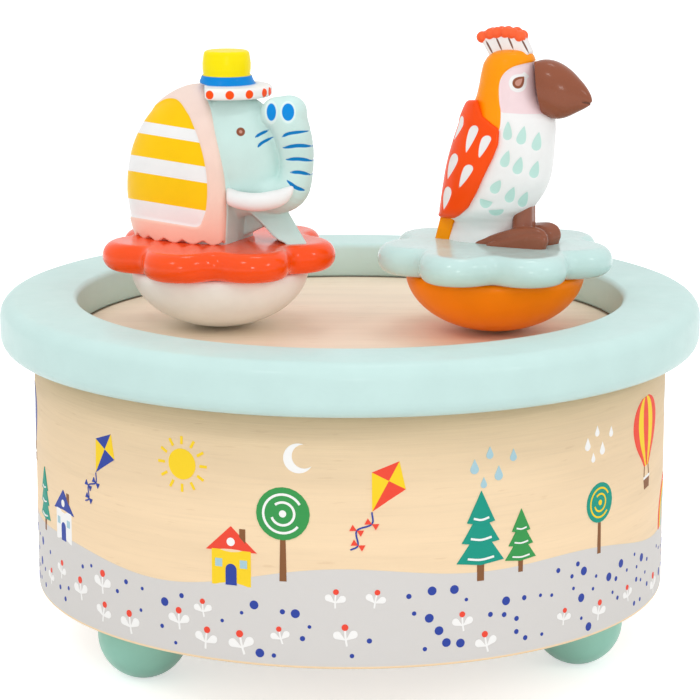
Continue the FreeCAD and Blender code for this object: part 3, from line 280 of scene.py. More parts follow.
def table(rows):
    """A smooth function through rows of (place, value), level beyond its ends."""
    places, values = np.array(rows, float).T
    slopes = np.gradient(values, places)

    def at(query):
        index = np.clip(np.searchsorted(places, query) - 1, 0, len(places) - 2)
        width = places[index + 1] - places[index]
        t = np.clip((query - places[index]) / width, 0, 1)
        start = values[index] * (1 + 2 * t) * (1 - t) ** 2 + slopes[index] * width * t * (1 - t) ** 2
        end = values[index + 1] * t**2 * (3 - 2 * t) + slopes[index + 1] * width * t**2 * (t - 1)
        return start + end

    return at


def outline(x, z, points):
    """Signed distance to a closed outline in a plane."""
    rows = np.array(points, float)
    best = np.full(len(x), FAR)
    inside = np.zeros(len(x), bool)
    for (ax, az), (bx, bz) in zip(rows, np.roll(rows, -1, axis=0)):
        ex, ez = bx - ax, bz - az
        share = np.clip(((x - ax) * ex + (z - az) * ez) / (ex * ex + ez * ez), 0, 1)
        best = np.minimum(best, (x - ax - share * ex) ** 2 + (z - az - share * ez) ** 2)
        crosses = (az > z) != (bz > z)
        if ez != 0:
            inside ^= crosses & (x < ax + (z - az) / ez * ex)
    return np.where(inside, -1.0, 1.0) * np.sqrt(best)


DROP_FULLNESS = 1.8
STROKE_TIP, STROKE_TAPER = 0.35, 2.6
UNPAINTED = 9.0


def drops(x, z, rows):
    """Drops from a round end (x, z, radius) to a point (x, z), with full sides."""
    best = np.full(len(x), FAR)
    for (bx, bz, radius), (tx, tz) in rows:
        length = math.hypot(tx - bx, tz - bz)
        along = ((x - bx) * (tx - bx) + (z - bz) * (tz - bz)) / length
        across = np.abs((x - bx) * (tz - bz) - (z - bz) * (tx - bx)) / length
        half = radius * (1 - np.clip(along / length, 0, 1) ** DROP_FULLNESS)
        drop = np.where(along < 0, np.hypot(along, across) - radius, across - half)
        best = np.minimum(best, np.maximum(drop, along - length))
    return best


def strokes(x, z, rows):
    """Brush strokes along points, each (list of points, half width), thinner at both ends."""
    best = np.full(len(x), FAR)
    flat = np.column_stack([x, np.zeros(len(x)), z])
    for points, half in rows:
        line = softened(points, 5)
        shares = np.linspace(0, 1, len(line))
        widths = half * np.minimum(1, STROKE_TIP + STROKE_TAPER * np.minimum(shares, 1 - shares))
        path = [(a, 0, b, w) for (a, b), w in zip(line, widths)]
        best = np.minimum(best, bar(flat, path))
    return best


def ovals(x, z, rows, halved=False):
    """Ovals (centre, radii, lean in degrees), whole or only their lower halves."""
    best = np.full(len(x), UNPAINTED)
    for (cx, cz), (rx, rz), lean in rows:
        turn = math.radians(lean)
        u = (x - cx) * math.cos(turn) + (z - cz) * math.sin(turn)
        v = (z - cz) * math.cos(turn) - (x - cx) * math.sin(turn)
        oval = (np.hypot(u / rx, v / rz) - 1) * min(rx, rz)
        best = np.minimum(best, np.maximum(oval, v) if halved else oval)
    return best


def surface_net(values, low, cell):
    """Quads through the cells where a sampled field changes sign."""
    shape = tuple(n - 1 for n in values.shape)
    sums = np.zeros(shape + (3,))
    hits = np.zeros(shape)

    def corner(offset):
        return values[tuple(slice(o, o + n) for o, n in zip(offset, shape))]

    for axis in range(3):
        for first, second in ((0, 0), (0, 1), (1, 0), (1, 1)):
            start = np.roll([0, first, second], axis)
            end = start + np.eye(3, dtype=int)[axis]
            a, b = corner(start), corner(end)
            crossing = (a < 0) != (b < 0)
            share = np.where(crossing, a / np.where(crossing, a - b, 1), 0)
            for k in range(3):
                sums[..., k] += crossing * (share if k == axis else start[k])
            hits += crossing
    active = hits > 0
    index = np.full(shape, -1)
    index[active] = np.arange(active.sum())
    points = np.array(low) + (np.argwhere(active) + sums[active] / hits[active][:, None]) * cell
    quads = []
    for turn in range(3):
        order = (turn, (turn + 1) % 3, (turn + 2) % 3)
        solid = (values < 0).transpose(order)
        cells = index.transpose(order)
        a, b = solid[:-1, 1:-1, 1:-1], solid[1:, 1:-1, 1:-1]
        for mask, step in ((a & ~b, 1), (~a & b, -1)):
            i, j, k = np.nonzero(mask)
            ring = [cells[i, j, k], cells[i, j + 1, k], cells[i, j + 1, k + 1], cells[i, j, k + 1]]
            quads.append(np.stack(ring[::step], axis=1))
    return points, np.vstack(quads)


def slope(field, points, step=0.04):
    columns = []
    for axis in range(3):
        shift = np.zeros(3)
        shift[axis] = step
        columns.append((field(points + shift) - field(points - shift)) / (2 * step))
    return np.stack(columns, axis=1)


def sculpted(field, low, high, cell, relief=None):
    """Points and quads of a field's surface, drawn in or out along its normal by relief."""
    axes = [np.arange(a - 2 * cell, b + 2 * cell, cell) for a, b in zip(low, high)]
    grid = np.stack(np.meshgrid(*axes, indexing="ij"), axis=-1)
    values = field(grid.reshape(-1, 3)).reshape(grid.shape[:3])
    points, quads = surface_net(values, [axis[0] for axis in axes], cell)
    for _ in range(2):
        lean = slope(field, points)
        move = field(points) / np.maximum((lean**2).sum(1), TINY)
        points -= np.clip(move, -cell, cell)[:, None] * lean
    if relief:
        lean = slope(field, points)
        steep = np.maximum(np.linalg.norm(lean, axis=1), TINY)
        points += lean / steep[:, None] * relief(points)[:, None]
    return points, quads


# Pieces


def linked(name, data):
    made = bpy.data.objects.new(name, data)
    bpy.context.scene.collection.objects.link(made)
    return made


def piece(name, points, faces, looks, body, slot, node=None, fields=None, kinds=None):
    """A mesh from points in millimetres that rides on a body and may stand for a node of the frame."""
    mesh = bpy.data.meshes.new(name)
    mesh.from_pydata((np.array(points) * MM).tolist(), [], faces)
    mesh.polygons.foreach_set("use_smooth", np.ones(len(mesh.polygons), bool))
    for look in looks:
        mesh.materials.append(look)
    if kinds is not None:
        mesh.polygons.foreach_set("material_index", np.array(kinds, np.int32))
    for key, values in (fields or {}).items():
        mesh.attributes.new(key, "FLOAT", "POINT").data.foreach_set("value", values.astype(np.float32))
    mesh.update()
    made = linked(name, mesh)
    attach(made, body)
    if node:
        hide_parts(node)
    return made


def arc(centre, radius, start, end, steps):
    turn = np.radians(np.linspace(start, end, steps))
    return [(centre[0] + radius * math.cos(t), centre[1] + radius * math.sin(t)) for t in turn]


def skinned(rows, place, segments):
    """Points and faces through level rings (reach, z) about a place. A ring without reach is a pole."""
    turns = 2 * math.pi * np.arange(segments) / segments
    points, rings, faces = [], [], []
    for reach, z in rows:
        start = len(points)
        if np.max(reach) < TINY:
            rings.append([start] * segments)
            points.append((place[0], place[1], z))
            continue
        rings.append(list(range(start, start + segments)))
        across, away = place[0] + reach * np.cos(turns), place[1] + reach * np.sin(turns)
        points += [(x, y, z) for x, y in zip(across, away)]
    for lower, upper in zip(rings[:-1], rings[1:]):
        for k in range(segments):
            after = (k + 1) % segments
            corners = [lower[k], lower[after], upper[after], upper[k]]
            corners = [c for i, c in enumerate(corners) if c not in corners[:i]]
            if len(corners) > 2:
                faces.append(corners)
    return points, faces


def seen(p, place, mirrored=True):
    """Where the viewer sees points of a figure's near side, in the upright plane through its axis.

    The points are in the figure's own frame, which faces along x. The far side mirrors the near one,
    unless told otherwise.
    """
    side = -np.abs(p[:, 1]) if mirrored else p[:, 1]
    across = p[:, 0] * FACING[0] + side * FACING[1]
    away = side * FACING[0] - p[:, 0] * FACING[1]
    share = (place[1] - CAMERA_PLACE[1]) / (place[1] + away - CAMERA_PLACE[1])
    x = (place[0] + across - CAMERA_PLACE[0]) * share + CAMERA_PLACE[0] - place[0]
    z = (PLINTH + p[:, 2] - CAMERA_PLACE[2]) * share + CAMERA_PLACE[2] - PLINTH
    return x, z


def in_view(shape, rows, place):
    """A painted shape's distances for points of a figure."""
    return lambda p: shape(*seen(p, place), rows)


def placed(rows, place):
    """Rows (seen x, seen z, y, radius) as points (x, y, z, radius) in the figure's own frame."""
    found = []
    for seen_x, seen_z, y, radius in rows:
        x = seen_x / FACING[0]
        for _ in range(5):
            away = y * FACING[0] - x * FACING[1]
            share = (place[1] - CAMERA_PLACE[1]) / (place[1] + away - CAMERA_PLACE[1])
            across = (place[0] + seen_x - CAMERA_PLACE[0]) / share + CAMERA_PLACE[0] - place[0]
            x = (across - y * FACING[1]) / FACING[0]
        z = (PLINTH + seen_z - CAMERA_PLACE[2]) / share + CAMERA_PLACE[2] - PLINTH
        found.append((x, y, z, radius))
    return found


def placed_flat(points, place):
    """Seen points as (x, z) in the middle plane of a figure."""
    return [(x, z) for x, _, z, _ in placed([(x, z, 0.0, 0.0) for x, z in points], place)]


def crossed(flat, side, rounding):
    """The meet of two distances with a rounded edge between them."""
    flat = flat + rounding
    side = side + rounding
    outer = np.hypot(np.maximum(flat, 0), np.maximum(side, 0))
    return np.minimum(np.maximum(flat, side), 0) + outer - rounding


def folded(p, side=1):
    """Points brought to one side of the figure's middle."""
    return np.column_stack([p[:, 0], side * np.abs(p[:, 1]), p[:, 2]])


def standing(p, whole):
    """A shape cut off just below the top of its plinth."""
    return np.maximum(whole, SUNK - p[:, 2])


def slab(p, middle, half):
    """Distance from an upright slab along the figure."""
    return np.abs(p[:, 1] - middle) - half


def rising(value, start, width):
    """From nothing at start to one after width."""
    return np.clip((value - start) / width, 0, 1)


def step(distance, width=0.25):
    """From one inside a painted shape to nothing outside it."""
    share = np.clip(0.5 - distance / (2 * width), 0, 1)
    return share * share * (3 - 2 * share)


def figure_piece(node, field, low, high, cell, look, slot, relief=None, marks=None):
    """A figure's piece from its distance field between two corners, with painted marks by name."""
    figure = node.split("_")[0]
    place = FIGURES[figure]
    points, quads = sculpted(field, low, high, cell, relief)
    fields = {key: mark(points) for key, mark in (marks or {}).items()}
    x = place[0] + points[:, 0] * FACING[0] + points[:, 1] * FACING[1]
    y = place[1] + points[:, 1] * FACING[0] - points[:, 0] * FACING[1]
    spots = np.column_stack([x, y, PLINTH + points[:, 2]])
    piece(node, spots, quads.tolist(), [look], figure, slot, node, fields)


# Elephant
HEAD = ((3.2, 0, 14.8), (9.2, 5.9, 10.6))
CORE = ((-4.5, 0, 9.5), (8.5, 5.0, 12.0))
TRUNK = placed(softened([
    (6.4, 9.4, 0.0, 3.9), (9.8, 7.9, 0.0, 3.4), (12.4, 8.8, 0.0, 3.0), (13.35, 12.2, 0.0, 2.75),
    (13.2, 15.8, -0.2, 2.95), (12.3, 19.2, -0.5, 3.2), (11.4, 21.3, -0.8, 3.3)], 5), ELEPHANT)
TRUNK_LOBE_WIDTH = 0.95
TRUNK_LOBES = placed([(9.95, 21.75, -1.5, 2.75), (12.3, 21.95, -0.5, 2.8)], ELEPHANT)
STEP_LEG = [(4.4, 8.0), (11.6, 8.0), (11.85, 4.7), (13.1, 2.5), (14.7, -0.3), (15.6, -2.0), (11.9, -2.0),
            (11.3, -0.8), (10.1, -0.2), (8.9, 0.8), (7.3, 2.7), (5.2, 4.7)]
RAMP_FACING = (0.49, -0.68, 0.54)
RAMP_PLACE = (6.9, -2.5, 4.7)
STEP_LEG_SIDE = (0.5, 3.0)
WEB_SIDE = (2.4, 1.2)
LINING, LINING_LEDGE, LINING_HIGH = 1.0, 0.15, 5
STANCE = [(-6.0, 9.0), (9.0, 9.0), (9.0, 2.8), (6.2, 1.5), (4.0, 0.5), (3.2, -2.0), (-6.0, -2.0)]
TRUNK_STROKES = [
    ([(10.8, 17.7), (12.1, 18.3), (15.3, 18.7)], 0.28), ([(10.95, 15.8), (13.4, 16.2), (15.9, 16.1)], 0.32),
    ([(11.5, 13.8), (13.6, 13.9), (15.9, 13.6)], 0.31), ([(12.2, 11.6), (13.8, 11.6), (15.6, 11.2)], 0.31),
    ([(11.6, 10.2), (13.1, 9.0), (14.6, 8.5)], 0.33), ([(6.2, 17.6), (7.1, 18.2), (8.6, 18.9)], 0.26),
    ([(6.6, 15.9), (7.4, 16.7), (9.3, 17.7)], 0.26)]
elephant_strokes = in_view(strokes, TRUNK_STROKES, ELEPHANT)
NOSTRILS = [((9.0, 21.95), (0.8, 1.5), 0), ((11.85, 21.95), (1.05, 1.5), 0)]
NOSTRIL_DEPTH = -6.3
EYE = (3.75, 18.58)
EYE_RADIUS, PUPIL_RADIUS = 0.75, 0.3
NOSTRIL_DENT, STROKE_DENT, EYE_RISE = 0.3, 0.1, 0.12
CAPE_MIDDLE = -3.3
CAPE_LENGTH = 1.065
CAPE_WIDTH = 0.62
CAPE_TOP = 26.75
CAPE_WAIST = 8.0
CAPE_HALF, CAPE_LEAST = 13.5, 0.3
CAPE_TUCK = 1.5
CAPE_REAR = math.radians(163)
CAPE_FRONT = table([
    (-1.0, 3.6), (8.0, 4.4), (15.0, 3.5), (18.6, 2.4), (23.1, 0.2), (24.5, -1.0), (27.0, -3.2)])
HEM_TEETH = 6.4
HEM_LOW, HEM_HEIGHT = 0.1, 0.8
HEM_DEPTH, HEM_SLOPE = 1.6, 0.8


def cape_length(z):
    """Half the cape's length at a height, as the viewer sees it."""
    high = np.clip((z - CAPE_WAIST) / (CAPE_TOP - CAPE_WAIST), 0, 0.9999)
    low = np.clip((CAPE_WAIST - z) / CAPE_WAIST, 0, 1.2)
    return CAPE_HALF * (1 - high**2.2) ** 0.571 - CAPE_TUCK * low**1.6


def cape_ring(p):
    """Distance from the cape's upright side."""
    half = np.maximum(cape_length(p[:, 2]), CAPE_LEAST)
    ring = np.hypot((p[:, 0] - CAPE_MIDDLE) / (CAPE_LENGTH * half), p[:, 1] / (CAPE_WIDTH * half))
    return (ring - 1) * CAPE_WIDTH * half


def elephant_body(p):
    head = ellipsoid(p, *HEAD)
    core = ellipsoid(p, *CORE)
    trunk = bar(p, TRUNK)
    for x, y, z, radius in TRUNK_LOBES:
        trunk = smooth_min(trunk, ellipsoid(p, (x, y, z), (radius, radius * TRUNK_LOBE_WIDTH, radius)), 0.5)
    x, z = seen(p, ELEPHANT, False)
    leg = crossed(outline(x, z, STEP_LEG), slab(p, *STEP_LEG_SIDE), 0.4)
    leg = smooth_max(leg, (p - RAMP_PLACE) @ RAMP_FACING, 0.4)
    lining = np.maximum(cape_ring(p) + LINING, p[:, 0] - CAPE_FRONT(p[:, 2]) - LINING_LEDGE)
    stance = smooth_max(lining, outline(*seen(p, ELEPHANT), STANCE), 0.8)
    web = crossed(outline(x, z, STANCE), slab(p, *WEB_SIDE), 0.4)
    whole = smooth_min(smooth_min(head, core, 1.5), trunk, 0.7)
    filling = np.maximum(lining, LINING_HIGH - p[:, 2])
    lower = np.minimum(np.minimum(leg, web), np.minimum(stance, filling))
    return standing(p, smooth_min(whole, lower, 0.6))


def nostrils(p):
    away = p[:, 1] * FACING[0] - p[:, 0] * FACING[1]
    return np.where(away < NOSTRIL_DEPTH, ovals(*seen(p, ELEPHANT, False), NOSTRILS), UNPAINTED)


def elephant_eye(p):
    x, z = seen(p, ELEPHANT)
    return np.hypot(x - EYE[0], z - EYE[1])


def elephant_body_relief(p):
    dents = -NOSTRIL_DENT * step(nostrils(p), 0.4) - STROKE_DENT * step(elephant_strokes(p))
    return dents + EYE_RISE * step(elephant_eye(p) - EYE_RADIUS)


PANEL_FRONT = table([
    (3.04, -3.05), (5.1, -2.34), (6.47, -2.16), (8.87, -2.06), (12.97, -2.42), (16.37, -3.19), (19.19, -4.14),
    (22.13, -5.35), (24.5, -6.6)])
PANEL_TOP = table([
    (-16.0, 20.0), (-12.6, 21.9), (-10.7, 23.2), (-9.3, 24.1), (-7.84, 24.32), (-6.34, 23.75), (-5.3, 22.4)])
STRIPES = [4.1, 7.2, 12.0, 14.8, 18.8, 20.9]
STRIPE_SLOPE, STRIPE_START, STRIPE_SPAN = 0.165, -16.4, 30.0
PANEL_CORNER, PANEL_TOP_CORNER = 1.6, 1.2
PANEL_DENT = 0.3
# Heights in millimetres over which the cape's pink goes from painted shade to a painted highlight
PAINTED_LIGHT_FROM, PAINTED_LIGHT_TO = 70, 96


def elephant_blanket(p):
    whole = smooth_max(cape_ring(p), p[:, 0] - CAPE_FRONT(p[:, 2]), 0.9)
    whole = smooth_max(whole, p[:, 2] - CAPE_TOP, 0.5)
    turn = np.arctan2(p[:, 1] / CAPE_WIDTH, p[:, 0] - CAPE_MIDDLE)
    tooth = np.abs((turn * HEM_TEETH) % 2 - 1) * rising(cape_ring(p), -HEM_DEPTH, HEM_SLOPE)
    return np.maximum(whole, HEM_LOW + HEM_HEIGHT * tooth**1.6 - p[:, 2])


def cape_view(p):
    """Where places on the cape are seen. Lines stay level across its back, which isn't in view."""
    along = (p[:, 0] - CAPE_MIDDLE) / CAPE_LENGTH
    side = np.abs(p[:, 1]) / CAPE_WIDTH
    turn = np.minimum(np.arctan2(side, along), CAPE_REAR)
    x = CAPE_MIDDLE + CAPE_LENGTH * np.hypot(along, side) * np.cos(turn)
    y = CAPE_WIDTH * np.hypot(along, side) * np.sin(turn)
    return seen(np.column_stack([x, y, p[:, 2]]), ELEPHANT)


def stripe_height(p):
    x, z = cape_view(p)
    return z + STRIPE_SLOPE * (x - STRIPE_START)


def panel(p):
    x, z = cape_view(p)
    edge = smooth_max(x - PANEL_FRONT(z), STRIPES[0] - stripe_height(p), PANEL_CORNER)
    return smooth_max(edge, z - PANEL_TOP(x), PANEL_TOP_CORNER)


def blanket_colour(look):
    # Outside the panel the pink is painted darker low on the cape and lighter towards the top: painted shade
    # and a painted highlight
    level = look.span(look.axis(2), PAINTED_LIGHT_FROM * MM, PAINTED_LIGHT_TO * MM)
    ramp = look.ramp(level, [(0.0, paint("pink_painted_shade")), (1.0, paint("pink_painted_highlight"))])
    stops = [(0.0, paint("white"))]
    for k, height in enumerate(STRIPES[1:]):
        stops.append((height / STRIPE_SPAN, paint("white" if k % 2 else "yellow")))
    stripes = look.ramp(look.span(look.field("stripe"), 0.0, STRIPE_SPAN), stops, True)
    return look.mix(look.inside("panel"), ramp, stripes)


TUSK = [(-0.5, 8.2, -5.0, 1.3), (1.5, 7.55, -5.4, 1.35), (3.4, 6.8, -5.7, 1.48), (6.66, 6.45, -5.3, 1.55),
        (10.0, 7.1, -4.1, 1.45), (11.5, 8.0, -3.4, 1.0), (12.3, 8.8, -3.0, 0.45)]
TUSK_START = 1.2


def elephant_tusks(p):
    whole = bar(folded(p, -1), placed(softened(TUSK, 6), ELEPHANT))
    return smooth_max(whole, TUSK_START - seen(p, ELEPHANT)[0], 0.4)


figure_piece("elephant_body", elephant_body, (-18, -8.5, SUNK), (19, 8.5, 27), 0.25,
             painted("elephant mint paint", "mint", layers=[
                 ("strokes", 0.0, "stroke"), ("nostrils", 0.3, "nostril_rim"), ("nostrils", 0.0, "blue"),
                 ("eye", EYE_RADIUS, "brown"), ("eye", PUPIL_RADIUS, "eye")]),
             "mint_resin", elephant_body_relief,
             {"strokes": elephant_strokes, "nostrils": nostrils, "eye": elephant_eye})
figure_piece("elephant_blanket", elephant_blanket, (-19, -9, SUNK), (6, 9, 27), 0.26,
             painted("cape paint", blanket_colour), "pink_resin", lambda p: -PANEL_DENT * step(panel(p), 0.3),
             {"panel": panel, "stripe": stripe_height})
figure_piece("elephant_tusks", elephant_tusks, (2, -8, 4), (17, 8, 13), 0.2,
             painted("tusk paint", "white"), "white_resin")

HAT_PLACE = 1.65
BRIM_RADIUS = 7.75
BRIM_TOP = 26.95
BAND_TOP = 28.4
BRIM_BACK = -2.35
BRIM_SPOTS = 14
SPOT_RADIUS = 0.74
SPOT_HEIGHT = 25.8
SPOT_TURN = 0.354
OFF_BRIM = 5.0
HAT_OUTLINE = [
    (-3.0, 24.85), (6.95, 24.85), *arc((7.1, 25.5), 0.65, -75, 0, 6), *arc((7.05, 26.1), 0.7, 0, 80, 7),
    (4.72, 26.95), (4.8, 27.1), (4.45, 27.75), (4.26, 28.3), (4.15, 28.42), (3.95, 28.45), (4.1, 29.4),
    (4.12, 30.4), (4.0, 31.3), *arc((3.25, 31.9), 0.65, 5, 88, 6), (-3.0, 32.6)]


def elephant_hat(p):
    whole = outline(np.hypot(p[:, 0] - HAT_PLACE, p[:, 1]), p[:, 2], HAT_OUTLINE)
    behind = np.maximum(seen(p, ELEPHANT)[0] - BRIM_BACK, p[:, 2] - BRIM_TOP)
    return smooth_max(whole, -behind, 0.7)


def brim_spots(p):
    pitch = 2 * math.pi / BRIM_SPOTS
    turn = np.arctan2(p[:, 0] - HAT_PLACE, -np.abs(p[:, 1])) - SPOT_TURN
    along = ((turn + pitch / 2) % pitch - pitch / 2) * BRIM_RADIUS
    spots = np.hypot(along, p[:, 2] - SPOT_HEIGHT) - SPOT_RADIUS
    return np.where(np.hypot(p[:, 0] - HAT_PLACE, p[:, 1]) > BRIM_RADIUS - 0.6, spots, OFF_BRIM)


figure_piece("elephant_hat", elephant_hat, (-6, -8, 24.5), (10, 8, 32.8), 0.2,
             painted("hat paint", "hat_yellow", layers=[
                 ("level", BAND_TOP, "blue"), ("level", BRIM_TOP, "white"), ("spots", 0.0, "red")]),
             "yellow_resin", None,
             {"level": lambda p: p[:, 2], "spots": brim_spots})

# Parrot
PARROT_TOP = 33.1
PARROT_LEAST = 0.3
# Rows of height, back edge and front edge as the viewer sees them, and half width
PARROT_ROWS = np.array([
    (-1.0, -8.4, 3.4, 2.3), (1.0, -8.0, 3.6, 2.3), (3.2, -7.3, 3.8, 2.8), (4.2, -7.2, 4.2, 3.8),
    (4.8, -8.3, 4.6, 4.8), (5.8, -8.6, 6.3, 5.8), (7.85, -8.45, 8.1, 6.6), (10.3, -8.15, 9.3, 7.1),
    (13.8, -7.6, 9.95, 7.2), (17.3, -6.7, 10.15, 6.9), (20.0, -5.8, 10.2, 6.4), (21.6, -5.2, 9.9, 6.0),
    (23.0, -4.4, 8.6, 5.5), (25.0, -3.4, 7.4, 5.0), (27.0, -2.9, 7.0, 4.75), (29.5, -2.45, 6.7, 4.5),
    (31.0, -2.0, 6.3, 4.1), (32.0, -1.2, 5.75, 3.5), (32.6, -0.1, 5.0, 2.6), (33.0, 1.6, 4.2, 1.0),
    (33.15, 2.5, 3.4, 0.4)])
parrot_back = table([(z, x) for x, z in placed_flat(PARROT_ROWS[:, [1, 0]], PARROT)])
parrot_front = table([(z, x) for x, z in placed_flat(PARROT_ROWS[:, [2, 0]], PARROT)])
parrot_half = table(PARROT_ROWS[:, [0, 3]])
HOOD = [(6.7, 31.4), (6.06, 30.92), (4.1, 30.5), (2.3, 29.89), (0.94, 28.69), (0.34, 26.97), (0.4, 24.2),
        (0.67, 22.3), (0.43, 19.4), (-0.68, 20.0), (-2.77, 21.7), (-4.6, 21.0), (-9.0, 20.5), (-9.0, 36.0),
        (10.0, 36.0), (8.0, 32.0)]
FACE = [(0.67, 22.35), (4.12, 22.13), (7.2, 22.13), (12.0, 22.0), (12.0, 32.0), (6.06, 30.92), (4.1, 30.5),
        (2.3, 29.89), (0.94, 28.69), (0.34, 26.97), (0.4, 24.2)]
CHEST_DROPS = [
    ((1.83, 18.45, 0.78), (1.93, 21.0)), ((4.15, 17.75, 0.82), (4.7, 20.1)),
    ((6.75, 16.7, 0.82), (7.2, 19.1)), ((1.4, 13.85, 0.8), (2.1, 16.0)), ((3.6, 12.7, 0.85), (4.25, 14.9)),
    ((6.4, 12.0, 0.8), (7.1, 14.2)), ((-0.2, 9.35, 0.85), (0.85, 10.9)), ((2.3, 7.8, 0.82), (3.1, 9.7)),
    ((4.5, 7.0, 0.78), (5.4, 8.9))]
HALF_ROUNDS = [((-1.6, 7.4), (1.1, 1.4), -16), ((0.08, 5.75), (1.3, 1.0), 4)]
PARROT_EYE = [((3.5, 27.35, 0.95), (4.55, 28.45))]
WING = [(-3.3, 24.5), (-2.95, 23.4), (-2.4, 21.75), (-0.68, 20.35), (0.2, 19.75), (0.45, 19.1), (0.32, 16.93),
        (-0.62, 14.49), (-1.98, 11.7), (-3.33, 8.55), (-4.69, 6.1), (-6.2, 4.7), (-7.0, 4.3), (-9.4, 4.2),
        (-16.0, 4.2), (-16.0, 24.5)]
WING_DROPS = [
    ((-6.05, 20.5, 0.55), (-7.15, 17.6)), ((-4.15, 19.3, 0.74), (-5.3, 15.5)),
    ((-2.05, 17.75, 0.8), (-3.2, 14.5)), ((-7.4, 14.15, 0.66), (-8.2, 11.0)),
    ((-4.95, 12.7, 0.8), (-6.4, 9.4)), ((-8.35, 8.5, 0.54), (-8.8, 5.75))]
WING_SWELL, SHOULDER_SWELL = 0.85, 0.8
SHOULDER_HEIGHT, SHOULDER_PLACE = (20.5, 4), (1.0, 3)
WING_DIP = 1.8
DIP_TURN, DIP_HEIGHT = (2.7, 0.44), (14, 6)
WING_DEPTH = 1.0
WING_REACH = 7.3
WIDEST_DROP = 1.25
HOOD_RISE, DROP_DENT, PARROT_EYE_RISE = 0.3, 0.14, 0.1


def parrot_section(z):
    """Middle, half length and half width of the body at a height."""
    back, front, half = parrot_back(z), parrot_front(z), np.maximum(parrot_half(z), PARROT_LEAST)
    reach = (front - back) / 2
    long = np.sqrt(np.maximum(reach**2 - (half * FACING[1] / FACING[0]) ** 2, (0.6 * reach) ** 2 + 0.05))
    return (front + back) / 2, long, half


def parrot_form(p):
    middle, long, half = parrot_section(p[:, 2])
    ring = np.hypot((p[:, 0] - middle) / long, p[:, 1] / half)
    return smooth_max((ring - 1) * np.minimum(long, half), p[:, 2] - PARROT_TOP, 0.4)


def parrot_turn(p):
    """How far round the body points are, from nothing at the chest to half a turn at the back."""
    middle, long, half = parrot_section(p[:, 2])
    return np.arctan2(np.abs(p[:, 1]) / half, (p[:, 0] - middle) / long)


def turn_seen_at(seen_x, seen_z):
    """How far round the wing a seen place is, or the last turn in view if it is beyond that."""
    turns = np.linspace(1.0, 3.0, 200)
    heights = np.full(len(turns), seen_z)
    middle, long, half = parrot_section(heights)
    x = middle + (long + WING_SWELL) * np.cos(turns)
    y = (half + WING_SWELL) * np.sin(turns)
    places = seen(np.column_stack([x, y, heights]), PARROT)[0]
    last = np.argmin(places) + 1
    return np.interp(-seen_x, -places[:last], turns[:last])


def parrot_body(p):
    return standing(p, parrot_form(p))


hood = in_view(outline, softened(HOOD[1:11], 4).tolist() + HOOD[11:] + HOOD[:1], PARROT)
face = in_view(outline, FACE, PARROT)
chest_drops = in_view(drops, CHEST_DROPS, PARROT)
parrot_eye = in_view(drops, PARROT_EYE, PARROT)
WRAPPED_DROPS = []
for (drop_x, drop_z, drop_radius), (point_x, point_z) in WING_DROPS:
    width = turn_seen_at(drop_x - drop_radius, drop_z) - turn_seen_at(drop_x + drop_radius, drop_z)
    wrapped_radius = min(WING_REACH * width / 2, WIDEST_DROP)
    round_end = (-WING_REACH * turn_seen_at(drop_x, drop_z), drop_z, wrapped_radius)
    WRAPPED_DROPS.append((round_end, (-WING_REACH * turn_seen_at(point_x, point_z), point_z)))


def wing_drops(p):
    return drops(-WING_REACH * parrot_turn(p), seen(p, PARROT)[1], WRAPPED_DROPS)


def chest_marks(p):
    return np.minimum(chest_drops(p), ovals(*seen(p, PARROT), HALF_ROUNDS, True))


def parrot_body_relief(p):
    relief = HOOD_RISE * step(hood(p), 0.2) - DROP_DENT * step(chest_marks(p))
    return relief + PARROT_EYE_RISE * step(parrot_eye(p))


def parrot_wings(p):
    x, z = seen(p, PARROT)
    form = parrot_form(p)
    swell = WING_SWELL + SHOULDER_SWELL * rising(p[:, 2], *SHOULDER_HEIGHT) * rising(-x, *SHOULDER_PLACE)
    dip = WING_DIP * rising(parrot_turn(p), *DIP_TURN) * rising(p[:, 2], *DIP_HEIGHT)
    whole = crossed(outline(x, z + dip, WING), form - swell, 0.55)
    return np.maximum(whole, -WING_DEPTH - form)


BEAK_ROWS = np.array([
    (3.0, 29.8, 23.2), (6.2, 30.95, 22.7), (7.8, 31.33, 22.1), (9.0, 31.25, 21.6), (10.2, 30.85, 21.3),
    (11.5, 30.1, 21.45), (12.4, 29.4, 21.8), (13.6, 28.2, 22.4), (14.7, 26.97, 22.95), (15.5, 25.8, 23.45),
    (15.95, 24.9, 23.75), (16.12, 24.4, 24.0)])
beak_top = table(placed_flat(BEAK_ROWS[:, [0, 1]], PARROT))
beak_low = table(placed_flat(BEAK_ROWS[:, [0, 2]], PARROT))
BEAK_END = placed_flat([(16.12, 24.2)], PARROT)[0][0]
BEAK_REAR = [(6.0, 31.9), (6.16, 30.92), (6.3, 29.0), (6.53, 26.62), (6.9, 24.4), (7.39, 22.48), (8.4, 20.5),
             (20.0, 20.5), (20.0, 33.0), (5.9, 33.0)]
BEAK_WIDTH, BEAK_FULLNESS = 0.74, 2.2
MOUTH = [([(14.3, 24.1), (15.2, 23.95), (16.4, 23.75)], 0.16)]
MOUTH_DENT = 0.25
mouth = in_view(strokes, MOUTH, PARROT)


def parrot_beak(p):
    top, low = beak_top(p[:, 0]), beak_low(p[:, 0])
    half = np.maximum((top - low) / 2, 0.2)
    across = np.abs(p[:, 1]) / (BEAK_WIDTH * half)
    rise = np.abs((p[:, 2] - (top + low) / 2) / half)
    ring = (across**BEAK_FULLNESS + rise**BEAK_FULLNESS) ** (1 / BEAK_FULLNESS)
    whole = smooth_max((ring - 1) * half * 0.8, p[:, 0] - BEAK_END, 0.5)
    return smooth_max(whole, outline(*seen(p, PARROT), BEAK_REAR), 0.2)


TAIL_HALF = 1.0
TAIL = placed_flat([(-8.9, 6.0), (-6.4, 6.0), (-7.5, 0.9), (-8.0, -1.5), (-10.6, -1.5), (-9.2, 4.4)], PARROT)


def parrot_tail(p):
    return standing(p, crossed(outline(p[:, 0], p[:, 2], TAIL), slab(p, 0, TAIL_HALF), 0.4))


